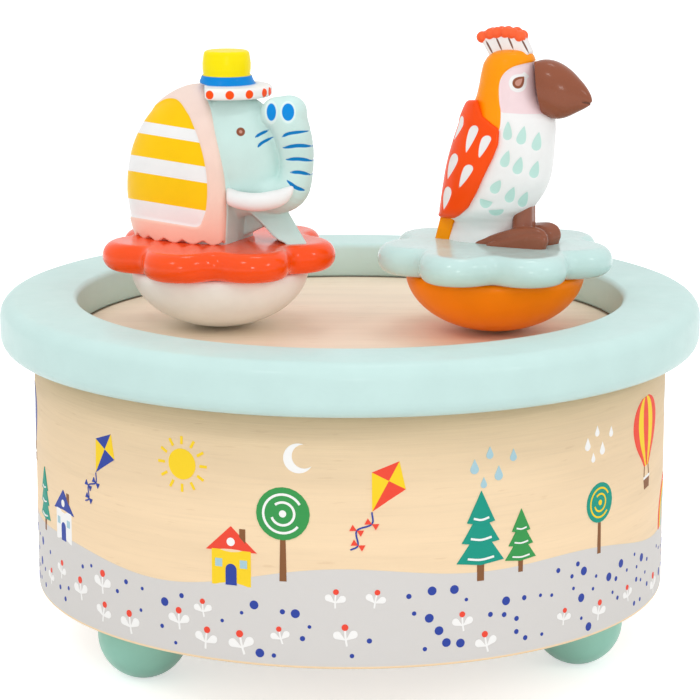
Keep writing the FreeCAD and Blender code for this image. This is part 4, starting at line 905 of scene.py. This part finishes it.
CREST_BUMPS = [
    (-2.2, 35.15, 1.0), (-1.0, 35.65, 1.02), (0.3, 35.85, 1.02), (1.6, 35.9, 1.0), (2.85, 35.75, 1.0),
    (3.95, 35.25, 1.0)]
BUMP_SIDE, BUMP_STAGGER = 0.75, 0.12
CREST_CORE = 0.55
CREST_HALF = 1.35
CREST_SHAFTS = placed_flat([
    (-2.35, 35.2), (-2.1, 34.1), (-0.9, 32.0), (5.2, 31.6), (5.7, 32.6), (4.85, 34.5), (4.4, 35.4)], PARROT)
CREST_LINE_HALF = 0.15
CREST_LINES = [
    [(-2.0, 34.5), (-1.45, 33.5), (-0.75, 32.2)], [(-0.3, 35.1), (0.2, 34.0), (0.75, 32.8)],
    [(1.7, 35.2), (2.15, 34.2), (2.65, 33.0)], [(3.95, 34.8), (4.5, 33.8), (5.25, 32.4)]]
crest_lines = in_view(strokes, [(line, CREST_LINE_HALF) for line in CREST_LINES], PARROT)


def crest_bumps(p):
    best = bar(p, placed([(x, z, 0.0, CREST_CORE) for x, z, _ in CREST_BUMPS], PARROT))
    for k, (seen_x, seen_z, radius) in enumerate(CREST_BUMPS):
        for side in (-BUMP_SIDE, BUMP_SIDE):
            x, z = placed_flat([(seen_x + BUMP_STAGGER * side * (-1) ** k, seen_z)], PARROT)[0]
            best = smooth_min(best, ellipsoid(p, (x, side, z), [radius] * 3), 0.15)
    return best


def crest_shafts(p):
    return crossed(outline(p[:, 0], p[:, 2], CREST_SHAFTS), slab(p, 0, CREST_HALF), 0.4)


def parrot_crest(p):
    return np.minimum(crest_bumps(p), crest_shafts(p))


INNER_TOE = softened([(-3.5, 0.3), (-0.4, 1.5), (2.8, 2.45), (5.7, 2.75), (7.3, 2.65), (8.5, 1.9), (9.0, 0.6),
                      (8.8, -0.5), (7.6, -2.0), (1.0, -2.0), (-3.2, -1.0)], 4, True)
OUTER_TOE = softened([(-1.4, 0.0), (1.2, 0.75), (3.6, 1.35), (5.6, 1.6), (7.4, 1.5), (8.5, 0.8), (8.6, -0.4),
                      (7.6, -2.0), (4.0, -2.0), (-0.8, -1.2)], 4, True)
PARROT_LEG = [(5.2, 0.5, 2.0, 1.8), (5.1, 0.5, 7.0, 1.8)]
INNER_TOE_MIDDLE, INNER_TOE_HALF = 2.0, 1.65
OUTER_TOE_MIDDLE, OUTER_TOE_HALF = 2.9, 1.15
TOE_BACK, TOE_LENGTH, TOE_LEAST = -3.9, 6.0, 0.35


def parrot_feet(p):
    near = folded(p)
    x, z = seen(p, PARROT)
    inner_half = INNER_TOE_HALF * np.clip((x - TOE_BACK) / TOE_LENGTH, TOE_LEAST, 1)
    inner = crossed(outline(x, z, INNER_TOE), slab(near, INNER_TOE_MIDDLE, inner_half), 0.9)
    outer = crossed(outline(x, z, OUTER_TOE), slab(near, OUTER_TOE_MIDDLE, OUTER_TOE_HALF), 0.9)
    toes = smooth_min(inner, outer, 0.15)
    return standing(p, smooth_min(toes, bar(near, PARROT_LEG), 0.4))


figure_piece("parrot_body", parrot_body, (-11, -8, SUNK), (12, 8, 33.3), 0.27,
             painted("parrot white paint", "white", layers=[
                 ("face", 0.0, "face"), ("eye", 0.6, "white"), ("eye", 0.0, "brown"), ("eye", -0.45, "eye"),
                 ("drops", 0.0, "drop"), ("hood", 0.0, "orange")]),
             "white_resin", parrot_body_relief,
             {"face": face, "eye": parrot_eye, "drops": chest_marks, "hood": hood})
figure_piece("parrot_wings", parrot_wings, (-12, -9, 3), (7, 9, 26), 0.25,
             painted("wing paint", "red", layers=[("drops", 0.0, "white")]), "red_resin",
             lambda p: -DROP_DENT * step(wing_drops(p)), {"drops": wing_drops})
figure_piece("parrot_beak", parrot_beak, (5, -5, 20), (19, 5, 33), 0.2,
             painted("beak paint", "brown", 0.26, 0.25, layers=[("mouth", 0.0, "mouth")]),
             "brown_resin", lambda p: -MOUTH_DENT * step(mouth(p)), {"mouth": mouth})
figure_piece("parrot_tail", parrot_tail, (-13, -3, SUNK), (-6, 3, 6), 0.2,
             painted("tail paint", "orange"), "orange_resin")
figure_piece("parrot_crest", parrot_crest, (-5, -3, 30), (8, 3, 37.4), 0.16,
             painted("crest paint", "white", layers=[
                 ("lines", 0.0, "crest_line"), ("tips", 0.0, "crest_tip")]),
             "red_resin", None,
             {"lines": crest_lines, "tips": lambda p: crest_bumps(p) - crest_shafts(p)})
figure_piece("parrot_feet", parrot_feet, (-6, -6, SUNK), (13, 6, 9), 0.2,
             painted("foot paint", "brown", 0.22, 0.45), "brown_resin")

# Flower plinths and domes


def flower_edge(turns, first):
    """How far the flower reaches in each direction, in radians, with soft valleys between its lobes."""
    best = np.full(len(turns), FLOWER_CORE)
    for k in range(LOBES):
        turn = turns - math.radians(first + 360 * k / LOBES)
        reach = LOBE_RADIUS**2 - (LOBE_CIRCLE * np.sin(turn)) ** 2
        lobe = LOBE_CIRCLE * np.cos(turn) + np.sqrt(np.maximum(reach, 0))
        best = np.where((reach > 0) & (np.cos(turn) > 0), smooth_max(best, lobe, 1.4), best)
    return best


def flower(node, look, slot):
    figure = node.split("_")[0]
    turns = np.linspace(0, 2 * math.pi, FLOWER_SEGMENTS, endpoint=False)
    edge = flower_edge(turns, FLOWER_TURNS[figure])
    kernel = np.hanning(2 * FLOWER_BLUR + 1)
    edge = np.concatenate([edge[-FLOWER_BLUR:], edge, edge[:FLOWER_BLUR]])
    edge = np.convolve(edge, kernel / kernel.sum(), "valid")
    round_edge = (PLINTH - DOME_HIGH) / 2
    middle = (PLINTH + DOME_HIGH) / 2
    bend = [(math.cos(t), math.sin(t)) for t in np.radians(np.linspace(-90, 90, 15))]
    rings = [(share * (edge - round_edge), DOME_HIGH) for share in FLOWER_UNDER]
    for out, rise in bend:
        lift = FLOWER_RISE * (1 + rise) / 2
        rings.append((edge - round_edge * (1 - out), middle + rise * round_edge + lift))
    for share in FLOWER_OVER:
        dish = FLOWER_DISH * (1 - share**3)
        rings.append((share * (edge - round_edge), PLINTH + FLOWER_RISE - dish))
    piece(node, *skinned(rings, FIGURES[figure], FLOWER_SEGMENTS), [look], figure, slot, node)


def dome(node, look, slot):
    figure = node.split("_")[0]
    profile = arc((0.0, DOME_HIGH), 1.0, -90, -8, 40)
    profile = [(x * DOME_RADIUS, DOME_HIGH + (z - DOME_HIGH) * (DOME_HIGH - DOME_LOW)) for x, z in profile]
    profile += [(DOME_RADIUS - x, DOME_HIGH - z) for x, z in DOME_EDGE] + [(0.0, DOME_HIGH)]
    profile[0] = (0.0, DOME_LOW)
    piece(node, *skinned(profile, FIGURES[figure], DOME_SEGMENTS), [look], figure, slot, node)


flower("elephant_flower", painted("red flower paint", "red", 0.2, 0.45), "red_resin")
flower("parrot_flower", painted("mint flower paint", "flower_mint", 0.2, 0.45), "mint_resin")
dome("elephant_dome", painted("cream dome paint", "cream", 0.4), "cream_wood")
dome("parrot_dome", painted("orange dome paint", "dome_orange", 0.4), "orange_wood")

# Pieces and looks of the case


def rounded_profile(corners, steps=8):
    """A closed profile (radius, z) from corners (radius, z, rounding)."""
    found = []
    count = len(corners)
    for k, (x, z, rounding) in enumerate(corners):
        if not rounding:
            found.append((x, z))
            continue
        corner = Vector((x, z))
        before = (Vector(corners[k - 1][:2]) - corner).normalized() * rounding
        after = (Vector(corners[(k + 1) % count][:2]) - corner).normalized() * rounding
        centre = corner + before + after
        for t in np.linspace(0, math.pi / 2, steps):
            spot = centre - after * math.cos(t) - before * math.sin(t)
            found.append((spot.x, spot.y))
    return found + found[:1]


def turned_ring(name, corners, look, slot, segments=288):
    points, faces = skinned(rounded_profile(corners), (0.0, 0.0), segments)
    ring = len(points) - segments
    faces = [[corner % ring for corner in face] for face in faces]
    piece(name, points[:ring], faces, [look], "case", slot, name)


def wood(name, colour, wrap=False, painted_rim_shade=False):
    """Pale birch with long fibres, soft bands and flecks, and where asked a ring of painted shade where the
    rim meets the board. Fibres follow X, or go round the wall.
    """
    look = Look(name)
    place = look.place
    if wrap:
        turn = look.calc("ARCTAN2", look.axis(0), look.calc("MULTIPLY", look.axis(1), -1.0))
        around = look.calc("MULTIPLY", turn, WALL_RADIUS * MM)
        place = look.add("ShaderNodeCombineXYZ", {0: around, 1: look.axis(2)}).outputs[0]
    bands = look.noise(5.0, 4.0, 0.6, look.stretched((0.09, 1.0, 1.0), place))
    fibres = look.noise(0.55, 3.0, 0.6, look.stretched((0.035, 1.0, 1.0), place))
    flecks = look.noise(0.9, 2.0, 0.5, look.stretched((0.16, 1.0, 1.0), place))
    stops = [(0.3, shaded(colour, 0.975)), (0.5, linear(colour)), (0.72, shaded(colour, 1.02))]
    tone = look.ramp(bands, stops)
    tone = look.mix(look.span(fibres, 0.5, 0.75, 0.0, 0.18), tone, shaded(colour, 0.88))
    tone = look.mix(look.span(flecks, 0.66, 0.74, 0.0, 0.2), tone, paint("fleck"))
    # A dark brown ring painted on the board just inside the rim: painted shade where the rim meets the board
    if painted_rim_shade:
        squares = [look.calc("POWER", look.axis(k), 2.0) for k in (0, 1)]
        reach = look.calc("SQRT", look.calc("ADD", *squares))
        edge = look.span(reach, (RIM_INNER - 0.5) * MM, (RIM_INNER - 0.1) * MM, 0.0, 0.75)
        tone = look.mix(edge, tone, paint("gap"))
    look.set("Base Color", tone)
    look.rough(fibres, 0.5, 0.62)
    look.set("Specular IOR Level", 0.25)
    look.set("Coat Weight", 0.06)
    look.set("Coat Roughness", 0.35)
    look.relief(fibres, 0.03)
    look.relief(bands, 0.02)
    return look.material


def metal(name, colour, roughness, brushed=(1.0, 1.0, 1.0)):
    look = Look(name)
    cloud = look.noise(2.5, 4.0)
    look.set("Base Color", look.ramp(cloud, [(0.3, shaded(colour, 0.9)), (0.7, linear(colour))]))
    look.set("Metallic", 1.0)
    streaks = look.noise(0.3, 3.0, 0.6, look.stretched(brushed))
    look.rough(streaks, roughness - 0.08, roughness + 0.1)
    look.relief(streaks, 0.01)
    return look.material


def plastic(name, colour, roughness=0.42):
    look = Look(name)
    cloud = look.noise(3.0, 3.0)
    look.set("Base Color", look.ramp(cloud, [(0.3, shaded(colour, 0.94)), (0.7, linear(colour))]))
    look.rough(look.noise(0.4, 2.0), roughness - 0.05, roughness + 0.06)
    look.relief(look.noise(0.35, 2.0), 0.01)
    return look.material


turned_ring("rim_ring", [
    (RIM_INNER + RIM_UNDERCUT, BOARD_TOP, 0), (WALL_RADIUS, BOARD_TOP, 0), (WALL_RADIUS, RIM_LOW, 0),
    (RIM_OUTER, RIM_LOW, RIM_ROUND), (RIM_OUTER, RIM_HIGH, RIM_ROUND),
    (RIM_INNER, RIM_HIGH, RIM_INNER_ROUND), (RIM_INNER, BOARD_TOP + RIM_UNDERCUT, 0)],
    painted("rim paint", "rim", 0.38, 0.1, wear=0.03, grain=0.02), "mint_wood")
turned_ring("wall_shell", [
    (WALL_INNER, WALL_LOW, 0), (WALL_RADIUS, WALL_LOW, WALL_ROUND), (WALL_RADIUS, BOARD_TOP, 0),
    (WALL_INNER, BOARD_TOP, 0)],
    wood("birch wall", COLOURS["wood"], wrap=True), "plywood")
foot_look = painted("foot mint paint", "foot", 0.36, 0.15)
foot_middle = math.sqrt(FOOT_RADIUS**2 - FOOT_PAD**2)
low_turn = math.degrees(math.asin(-foot_middle / FOOT_RADIUS))
high_turn = math.degrees(math.asin((WALL_LOW - foot_middle) / FOOT_RADIUS))
foot_profile = [(0.0, 0.0), *arc((0.0, foot_middle), FOOT_RADIUS, low_turn, high_turn, 40), (0.0, WALL_LOW)]
for foot_name, angle in FOOT_ANGLES.items():
    foot_turn = math.radians(angle)
    foot_place = (FOOT_CIRCLE * math.cos(foot_turn), FOOT_CIRCLE * math.sin(foot_turn))
    foot_skin = skinned(foot_profile, foot_place, FOOT_SEGMENTS)
    piece(foot_name, *foot_skin, [foot_look], "case", "mint_wood", foot_name)

# Wall print, drawn on the unrolled wall: u runs to the right from the front, v is the height
WALL_AROUND = 2 * math.pi * WALL_RADIUS
INK_LAYER = 0.03
INK_PITCH, INK_MARGIN = 1.4, 0.45
INK_CREASE = math.radians(40)
PRINT_LOW = WALL_LOW + 0.45
GROUND_HEIGHT = 25.2
GROUND_WAVES = ((1.7, 3, 0.9), (1.0, 7, 2.2))
STRIP_COUNT = 343
SEAM_GAP = 0.08
SEAM_HALF, SEAM_LOW, SEAM_HIGH = 0.07, 27, 52
MOTIF_ROOM = 3.6
# Rows of count, room and kind
FILLERS = ((46, 2.4, "sprout"), (190, 1.0, "dot"))
DOT_SIZES = (0.3, 0.36, 0.42, 0.72)
SEED = 11
INKS = {
    "grey": (216, 213, 210), "white": (247, 246, 244), "navy": (48, 70, 160), "red": (240, 76, 56),
    "green": (58, 152, 80), "teal": (24, 152, 132), "yellow": (250, 212, 40), "brown": (136, 90, 56),
    "sky": (170, 205, 216), "seam": (196, 160, 116)}
ink_points, ink_faces, ink_kinds = [], [], []


def ground(u):
    """Height of the grey ground's edge."""
    turn = np.asarray(u) / WALL_RADIUS
    return sum((high * np.sin(count * turn + start) for high, count, start in GROUND_WAVES), GROUND_HEIGHT)


def ink_shell(spots, faces, colour, layer):
    """A thin closed layer of ink from flat points and faces that turn to the left."""
    start = len(ink_points)
    rows = np.array(spots, float)
    turn = rows[:, 0] / WALL_RADIUS
    for reach in (WALL_RADIUS + INK_LAYER * (layer + 1), WALL_RADIUS - INK_LAYER):
        ink_points.extend(zip(reach * np.sin(turn), -reach * np.cos(turn), rows[:, 1]))
    count = len(rows)
    edges = {(a, b) for face in faces for a, b in zip(face, list(face[1:]) + [face[0]])}
    shell = [list(face) for face in faces] + [[corner + count for corner in reversed(face)] for face in faces]
    shell += [[b, a, a + count, b + count] for a, b in sorted(edges) if (b, a) not in edges]
    ink_faces.extend([corner + start for corner in face] for face in shell)
    ink_kinds.extend([list(INKS).index(colour)] * len(shell))


def inked(points, colour, layer=1):
    """A flat closed outline laid on the wall."""
    rows = np.array(points, float)
    low, high = rows.min(axis=0), rows.max(axis=0)
    grid = np.meshgrid(*[np.arange(a + INK_PITCH / 2, b, INK_PITCH) for a, b in zip(low, high)])
    inner = np.column_stack([axis.ravel() for axis in grid])
    inner = inner[outline(inner[:, 0], inner[:, 1], rows) < -INK_MARGIN]
    spots = [Vector(row) for row in np.vstack([rows, inner])]
    found = geometry.delaunay_2d_cdt(spots, [], [list(range(len(rows)))], 1, 1e-5)
    ink_shell([tuple(spot) for spot in found[0]], found[2], colour, layer)


def turned(degrees):
    tilt = math.radians(degrees)
    return np.array([[math.cos(tilt), math.sin(tilt)], [-math.sin(tilt), math.cos(tilt)]])


class Pen:
    """Draws on the wall about a spot, larger or smaller and turned by degrees."""

    def __init__(self, u, v, size=1.0, turn=0.0):
        self.place = np.array([u, v])
        self.lean = size * turned(turn)

    def shape(self, points, colour, layer=1):
        inked(np.array(points, float) @ self.lean + self.place, colour, layer)

    def box(self, left, low, right, high, colour, layer=1):
        self.shape([(left, low), (right, low), (right, high), (left, high)], colour, layer)

    def disc(self, centre, radius, colour, layer=1):
        self.shape(arc(centre, radius, 0, 360, 25)[:-1], colour, layer)

    def line(self, path, half, colour, layer=1, smooth=True):
        rows = softened(path, 5) if smooth else np.array(path, float)
        ahead = np.gradient(rows, axis=0)
        ahead /= np.linalg.norm(ahead, axis=1)[:, None]
        side = half * np.column_stack([-ahead[:, 1], ahead[:, 0]])
        self.shape(np.vstack([rows - side, (rows + side)[::-1]]), colour, layer)

    def drop(self, place, length, radius, colour, layer=1, turn=0.0):
        """A drop with its point up, turned about its point."""
        rows = [(0.0, 0.0)] + arc((0.0, radius - length), radius, 150, 390, 17)
        self.shape(np.array(rows) @ turned(turn) + np.array(place), colour, layer)


def balloon(pen, first, second):
    rows = [(0.9, 0.0), (2.0, 1.5), (3.6, 3.5), (4.5, 5.5), (4.7, 7.2), (4.1, 8.9), (2.9, 10.1), (1.4, 10.8)]
    rows = softened(rows, 3)
    bounds = (-1.0, -0.62, -0.22, 0.22, 0.62, 1.0)
    for k, (left, right) in enumerate(zip(bounds[:-1], bounds[1:])):
        edge = [(right * w, v) for w, v in rows] + [(left * w, v) for w, v in rows[::-1]]
        pen.shape(edge, second if k % 2 else first)
    pen.shape([(-1.0, -3.6), (1.0, -3.6), (1.25, -1.8), (-1.25, -1.8)], "brown")
    pen.line([(-1.3, -1.8), (1.3, -1.8)], 0.2, "white", 2, False)
    for side in (-1, 1):
        pen.line([(1.05 * side, -1.7), (0.8 * side, -0.05)], 0.11, "brown", 1, False)


def kite(pen, first, second):
    middle = (0.0, 1.1)
    corners = [(0.0, 4.6), (-3.0, 1.1), (0.0, -4.4), (3.0, 1.1)]
    for k, corner in enumerate(corners):
        pen.shape([middle, corner, corners[(k + 1) % 4]], second if k % 2 else first)
    tail = [(0.0, -4.5), (0.9, -6.2), (-0.7, -8.2), (0.6, -10.2), (-0.1, -11.4)]
    pen.line(tail, 0.13, "navy")
    for u, v in tail[1:4]:
        for side in (-1, 1):
            pen.shape([(u, v), (u + side, v - 0.55), (u + side, v + 0.55)], first, 2)


def conifer(pen, colour):
    pen.box(-0.5, -1.2, 0.5, 2.0, "brown")
    for k, (half, low, high) in enumerate([(3.4, 1.4, 6.2), (2.7, 4.1, 8.6), (2.0, 6.8, 11.0)]):
        pen.shape([(-half, low), (0.0, low - 0.45), (half, low), (0.0, high)], colour, 2 + k)
        pen.line([(-0.55 * half, low + 0.55), (0.0, low + 0.3), (0.55 * half, low + 0.55)], 0.14, "white", 6)


def lollipop(pen, crown, ring):
    pen.shape([(-0.5, -1.2), (0.5, -1.2), (0.35, 6.0), (-0.35, 6.0)], "brown")
    pen.disc((0.0, 8.3), 3.7, crown, 2)
    for radius, start in ((2.7, 30), (1.6, 200)):
        pen.line(arc((0.0, 8.3), radius, start, start + 290, 30), 0.17, ring, 3, False)
    pen.disc((0.0, 8.3), 0.5, ring, 3)


def sun(pen):
    pen.disc((0.0, 0.0), 2.5, "yellow")
    for turn in np.radians(np.arange(0, 360, 30)):
        ray = np.array([math.cos(turn), math.sin(turn)])
        pen.line([3.2 * ray, 4.5 * ray], 0.22, "yellow", 1, False)


def crescent(pen):
    pen.shape(arc((0.0, 0.0), 2.8, 50, 310, 30) + arc((1.1, 0.0), 2.25, 290, 70, 26)[1:-1], "white")


def rain(pen, colour):
    rows = [(-3.2, 0.6, 2.4), (-0.6, 2.4, 2.0), (1.0, -0.8, 2.4), (3.6, 1.6, 2.0), (-1.6, -2.4, 1.8)]
    for u, v, length in rows:
        pen.drop((u, v), length, 0.3 * length, colour)


def arches(pen, *colours):
    for radius, colour in zip((6.4, 5.0, 3.6), colours):
        rows = [(radius, -0.9)] + arc((0.0, 0.6), radius, 0, 180, 25) + [(-radius, -0.9)]
        pen.line(rows, 0.42, colour, 1, False)


def house(pen, wall, roof):
    pen.box(-3.0, -0.9, 3.0, 4.4, wall)
    pen.box(1.3, 5.0, 2.2, 7.6, "brown")
    pen.shape([(-3.9, 4.2), (3.9, 4.2), (0.0, 7.9)], roof, 2)
    pen.shape([(-0.85, -0.8), (0.85, -0.8)] + arc((0.0, 1.5), 0.85, 0, 180, 11), "navy", 2)
    pen.disc((0.0, 5.6), 0.62, "white", 3)
    for side in (-1, 1):
        pen.box(1.9 * side - 0.55, 1.8, 1.9 * side + 0.55, 3.0, "sky", 2)


def sprout(pen):
    pen.line([(0.15, -1.9), (0.0, -0.4), (0.0, 1.0)], 0.16, "white")
    for side in (-1, 1):
        pen.drop((0.0, -0.9), 2.3, 0.66, "white", 2, 125 * side)
    pen.disc((0.0, 1.3), 0.55, "red", 2)


# Rows of motif, place along the wall, height or None for the ground, size, lean and colours
SCENES = [
    [(house, -19.0, None, 1.1, 0, "yellow", "red"), (lollipop, -10.5, None, 1.15, 0, "green", "white"),
     (kite, 5.5, 40.5, 1.0, -28, "red", "yellow"), (conifer, 21.0, None, 1.2, 0, "teal"),
     (conifer, 28.2, None, 0.85, 0, "green"), (sun, -27.5, 42.5, 1.0, 0), (rain, 23.0, 43.5, 1.0, 0, "sky"),
     (crescent, -8.0, 45.0, 0.85, 20)],
    [(balloon, -7.0, 36.0, 1.1, 5, "red", "yellow"), (arches, 9.0, None, 1.0, 0, "red", "yellow", "sky"),
     (lollipop, -23.0, None, 0.9, 0, "teal", "yellow"), (crescent, 9.5, 43.5, 1.0, -15),
     (conifer, 24.0, None, 1.05, 0, "green"), (rain, -23.5, 44.0, 0.9, 0, "white")],
    [(balloon, 9.0, 36.5, 0.95, -6, "navy", "white"), (house, -11.0, None, 1.0, 0, "white", "navy"),
     (kite, -24.0, 41.5, 0.9, 30, "navy", "yellow"), (lollipop, 23.5, None, 1.1, 0, "green", "yellow"),
     (sun, 25.0, 43.0, 0.85, 10), (conifer, -1.5, None, 0.9, 0, "teal")]]
SCENE_PLACES = [(0.0, 0, 1), (68.4, 1, 1), (136.7, 2, 1), (-136.7, 1, -1), (-68.4, 2, -1)]
taken = []
for middle, scene, flip in SCENE_PLACES:
    for motif, along, height, size, lean, *inks in SCENES[scene]:
        along = middle + flip * along
        motif(Pen(along, float(ground(along)) if height is None else height, size, flip * lean), *inks)
        if height is None:
            taken.append((along, float(ground(along)), MOTIF_ROOM))
strip = np.linspace(-WALL_AROUND / 2 + SEAM_GAP, WALL_AROUND / 2 - SEAM_GAP, STRIP_COUNT)
low_edge = [(u, PRINT_LOW) for u in strip]
high_edge = list(zip(strip, ground(strip)))
strip_faces = [(k, k + 1, k + 1 + STRIP_COUNT, k + STRIP_COUNT) for k in range(STRIP_COUNT - 1)]
ink_shell(low_edge + high_edge, strip_faces, "grey", 0)
Pen(WALL_AROUND / 2, 0).box(-SEAM_HALF, SEAM_LOW, SEAM_HALF, SEAM_HIGH, "seam", 0)
chance = np.random.default_rng(SEED)
for count, room, kind in FILLERS:
    made = 0
    while made < count:
        u = chance.uniform(-0.49, 0.49) * WALL_AROUND
        v = chance.uniform(WALL_LOW + 1.2 + 0.6 * room, ground(u) - 0.8 - room)
        if all(math.hypot(u - a, v - b) > room + reach for a, b, reach in taken):
            taken.append((u, v, room))
            if kind == "sprout":
                sprout(Pen(u, v, chance.uniform(0.75, 1.1), chance.uniform(-14, 14)))
            else:
                Pen(u, v).disc((0, 0), chance.choice(DOT_SIZES), "navy")
            made += 1


def ink(name, colour):
    """Matt ink that lets a little of the wood's grain through."""
    look = Look(name + " ink")
    fibres = look.noise(0.5, 3.0, 0.6, look.stretched((0.2, 0.2, 1.0)))
    worn = look.span(fibres, 0.55, 0.8, 0.0, 0.16)
    thin = linear([0.86 * c + 0.14 * w for c, w in zip(colour, COLOURS["wood"])])
    look.set("Base Color", look.mix(worn, linear(colour), thin))
    look.rough(fibres, 0.5, 0.62)
    look.set("Specular IOR Level", 0.2)
    look.relief(fibres, 0.01)
    return look.material


wall_print = piece("wall_print", ink_points, ink_faces, [ink(name, colour) for name, colour in INKS.items()],
                   "case", "plywood", kinds=ink_kinds)
wall_print.data.set_sharp_from_angle(angle=INK_CREASE)

# Looks of the pieces kept from the frame, by their material in the record
SLOT_LOOKS = {
    "steel": metal("bright steel", (196, 198, 200), 0.32, (0.1, 1.0, 1.0)),
    "brass": metal("turned brass", (222, 184, 104), 0.3, (1.0, 1.0, 0.1)),
    "zinc": metal("cast zinc", (176, 177, 178), 0.48),
    "spring_steel": metal("blued spring steel", (120, 126, 138), 0.34, (1.0, 1.0, 0.08)),
    "magnet": metal("nickel plate", (206, 202, 192), 0.2),
    "white_plastic": plastic("white gear plastic", (236, 232, 220)),
    "black_plastic": plastic("black plastic", (34, 34, 36)),
}
BOARD_LOOKS = {
    # The top board carries the ring of painted shade at the foot of the rim
    "top_board": wood("birch board", COLOURS["board"], painted_rim_shade=True),
    "base_board": wood("birch base", COLOURS["board"]),
}
for row in frame["record"]["subparts"]:
    look = BOARD_LOOKS.get(row["node"]) or SLOT_LOOKS.get(row["material_slot"])
    if look:
        mesh = frame["nodes"][row["node"]].data
        mesh.materials.clear()
        mesh.materials.append(look)

# Floor and light, in metres, and the camera
FLOOR_GLOW = 0.55
FLOOR_HALF = 6.0
WORLD_LIGHT = 0.92
LAMP_AIM = (0, 0, 0.06)
# Rows of name, place, size and power
LAMPS = [
    ("key light", (-0.45, -0.75, 0.95), 0.2, 1.2), ("fill light", (0.85, -0.6, 0.6), 0.2, 0.8),
    ("top light", (0.1, 0.25, 1.2), 0.3, 0.9), ("low light", (0.05, -1.15, 0.32), 0.2, 1.0)]


def floor():
    look = Look("white floor")
    path = look.add("ShaderNodeLightPath")
    seen_ray = look.calc("MAXIMUM", path.outputs["Is Camera Ray"], path.outputs["Is Glossy Ray"])
    seen_ray = look.calc("MAXIMUM", seen_ray, path.outputs["Is Transmission Ray"])
    look.set("Base Color", paint("floor"))
    look.rough(look.noise(6.0, 2.0), 0.85, 0.95)
    look.set("Emission Color", (1.0, 1.0, 1.0, 1.0))
    look.set("Emission Strength", look.calc("MULTIPLY", seen_ray, FLOOR_GLOW))
    mesh = bpy.data.meshes.new("studio floor")
    corners = [(a * FLOOR_HALF, b * FLOOR_HALF, 0) for a, b in ((-1, -1), (1, -1), (1, 1), (-1, 1))]
    mesh.from_pydata(corners, [], [(0, 1, 2, 3)])
    mesh.materials.append(look.material)
    made = linked("studio floor", mesh)


def lamp(name, place, size, power):
    light = bpy.data.lights.new(name, "AREA")
    light.shape = "DISK"
    light.size = size
    light.energy = power
    made = linked(name, light)
    made.location = place
    made.rotation_euler = (Vector(LAMP_AIM) - Vector(place)).to_track_quat("-Z", "Y").to_euler()


floor()
for lamp_row in LAMPS:
    lamp(*lamp_row)
world = bpy.data.worlds.new("studio")
world.use_nodes = True
background = world.node_tree.nodes["Background"]
background.inputs["Color"].default_value = (1.0, 1.0, 1.0, 1.0)
background.inputs["Strength"].default_value = WORLD_LIGHT
bpy.context.scene.world = world
bpy.context.scene.view_settings.view_transform = "Standard"

camera = linked("camera", bpy.data.cameras.new("camera"))
camera.location = [c * MM for c in CAMERA_PLACE]
camera.rotation_euler = (math.pi / 2 - CAMERA_PITCH, 0, 0)
camera.data.lens = CAMERA_LENS
camera.data.sensor_width = CAMERA_SENSOR
camera.data.clip_start = CAMERA_NEAR * MM
bpy.context.scene.camera = camera
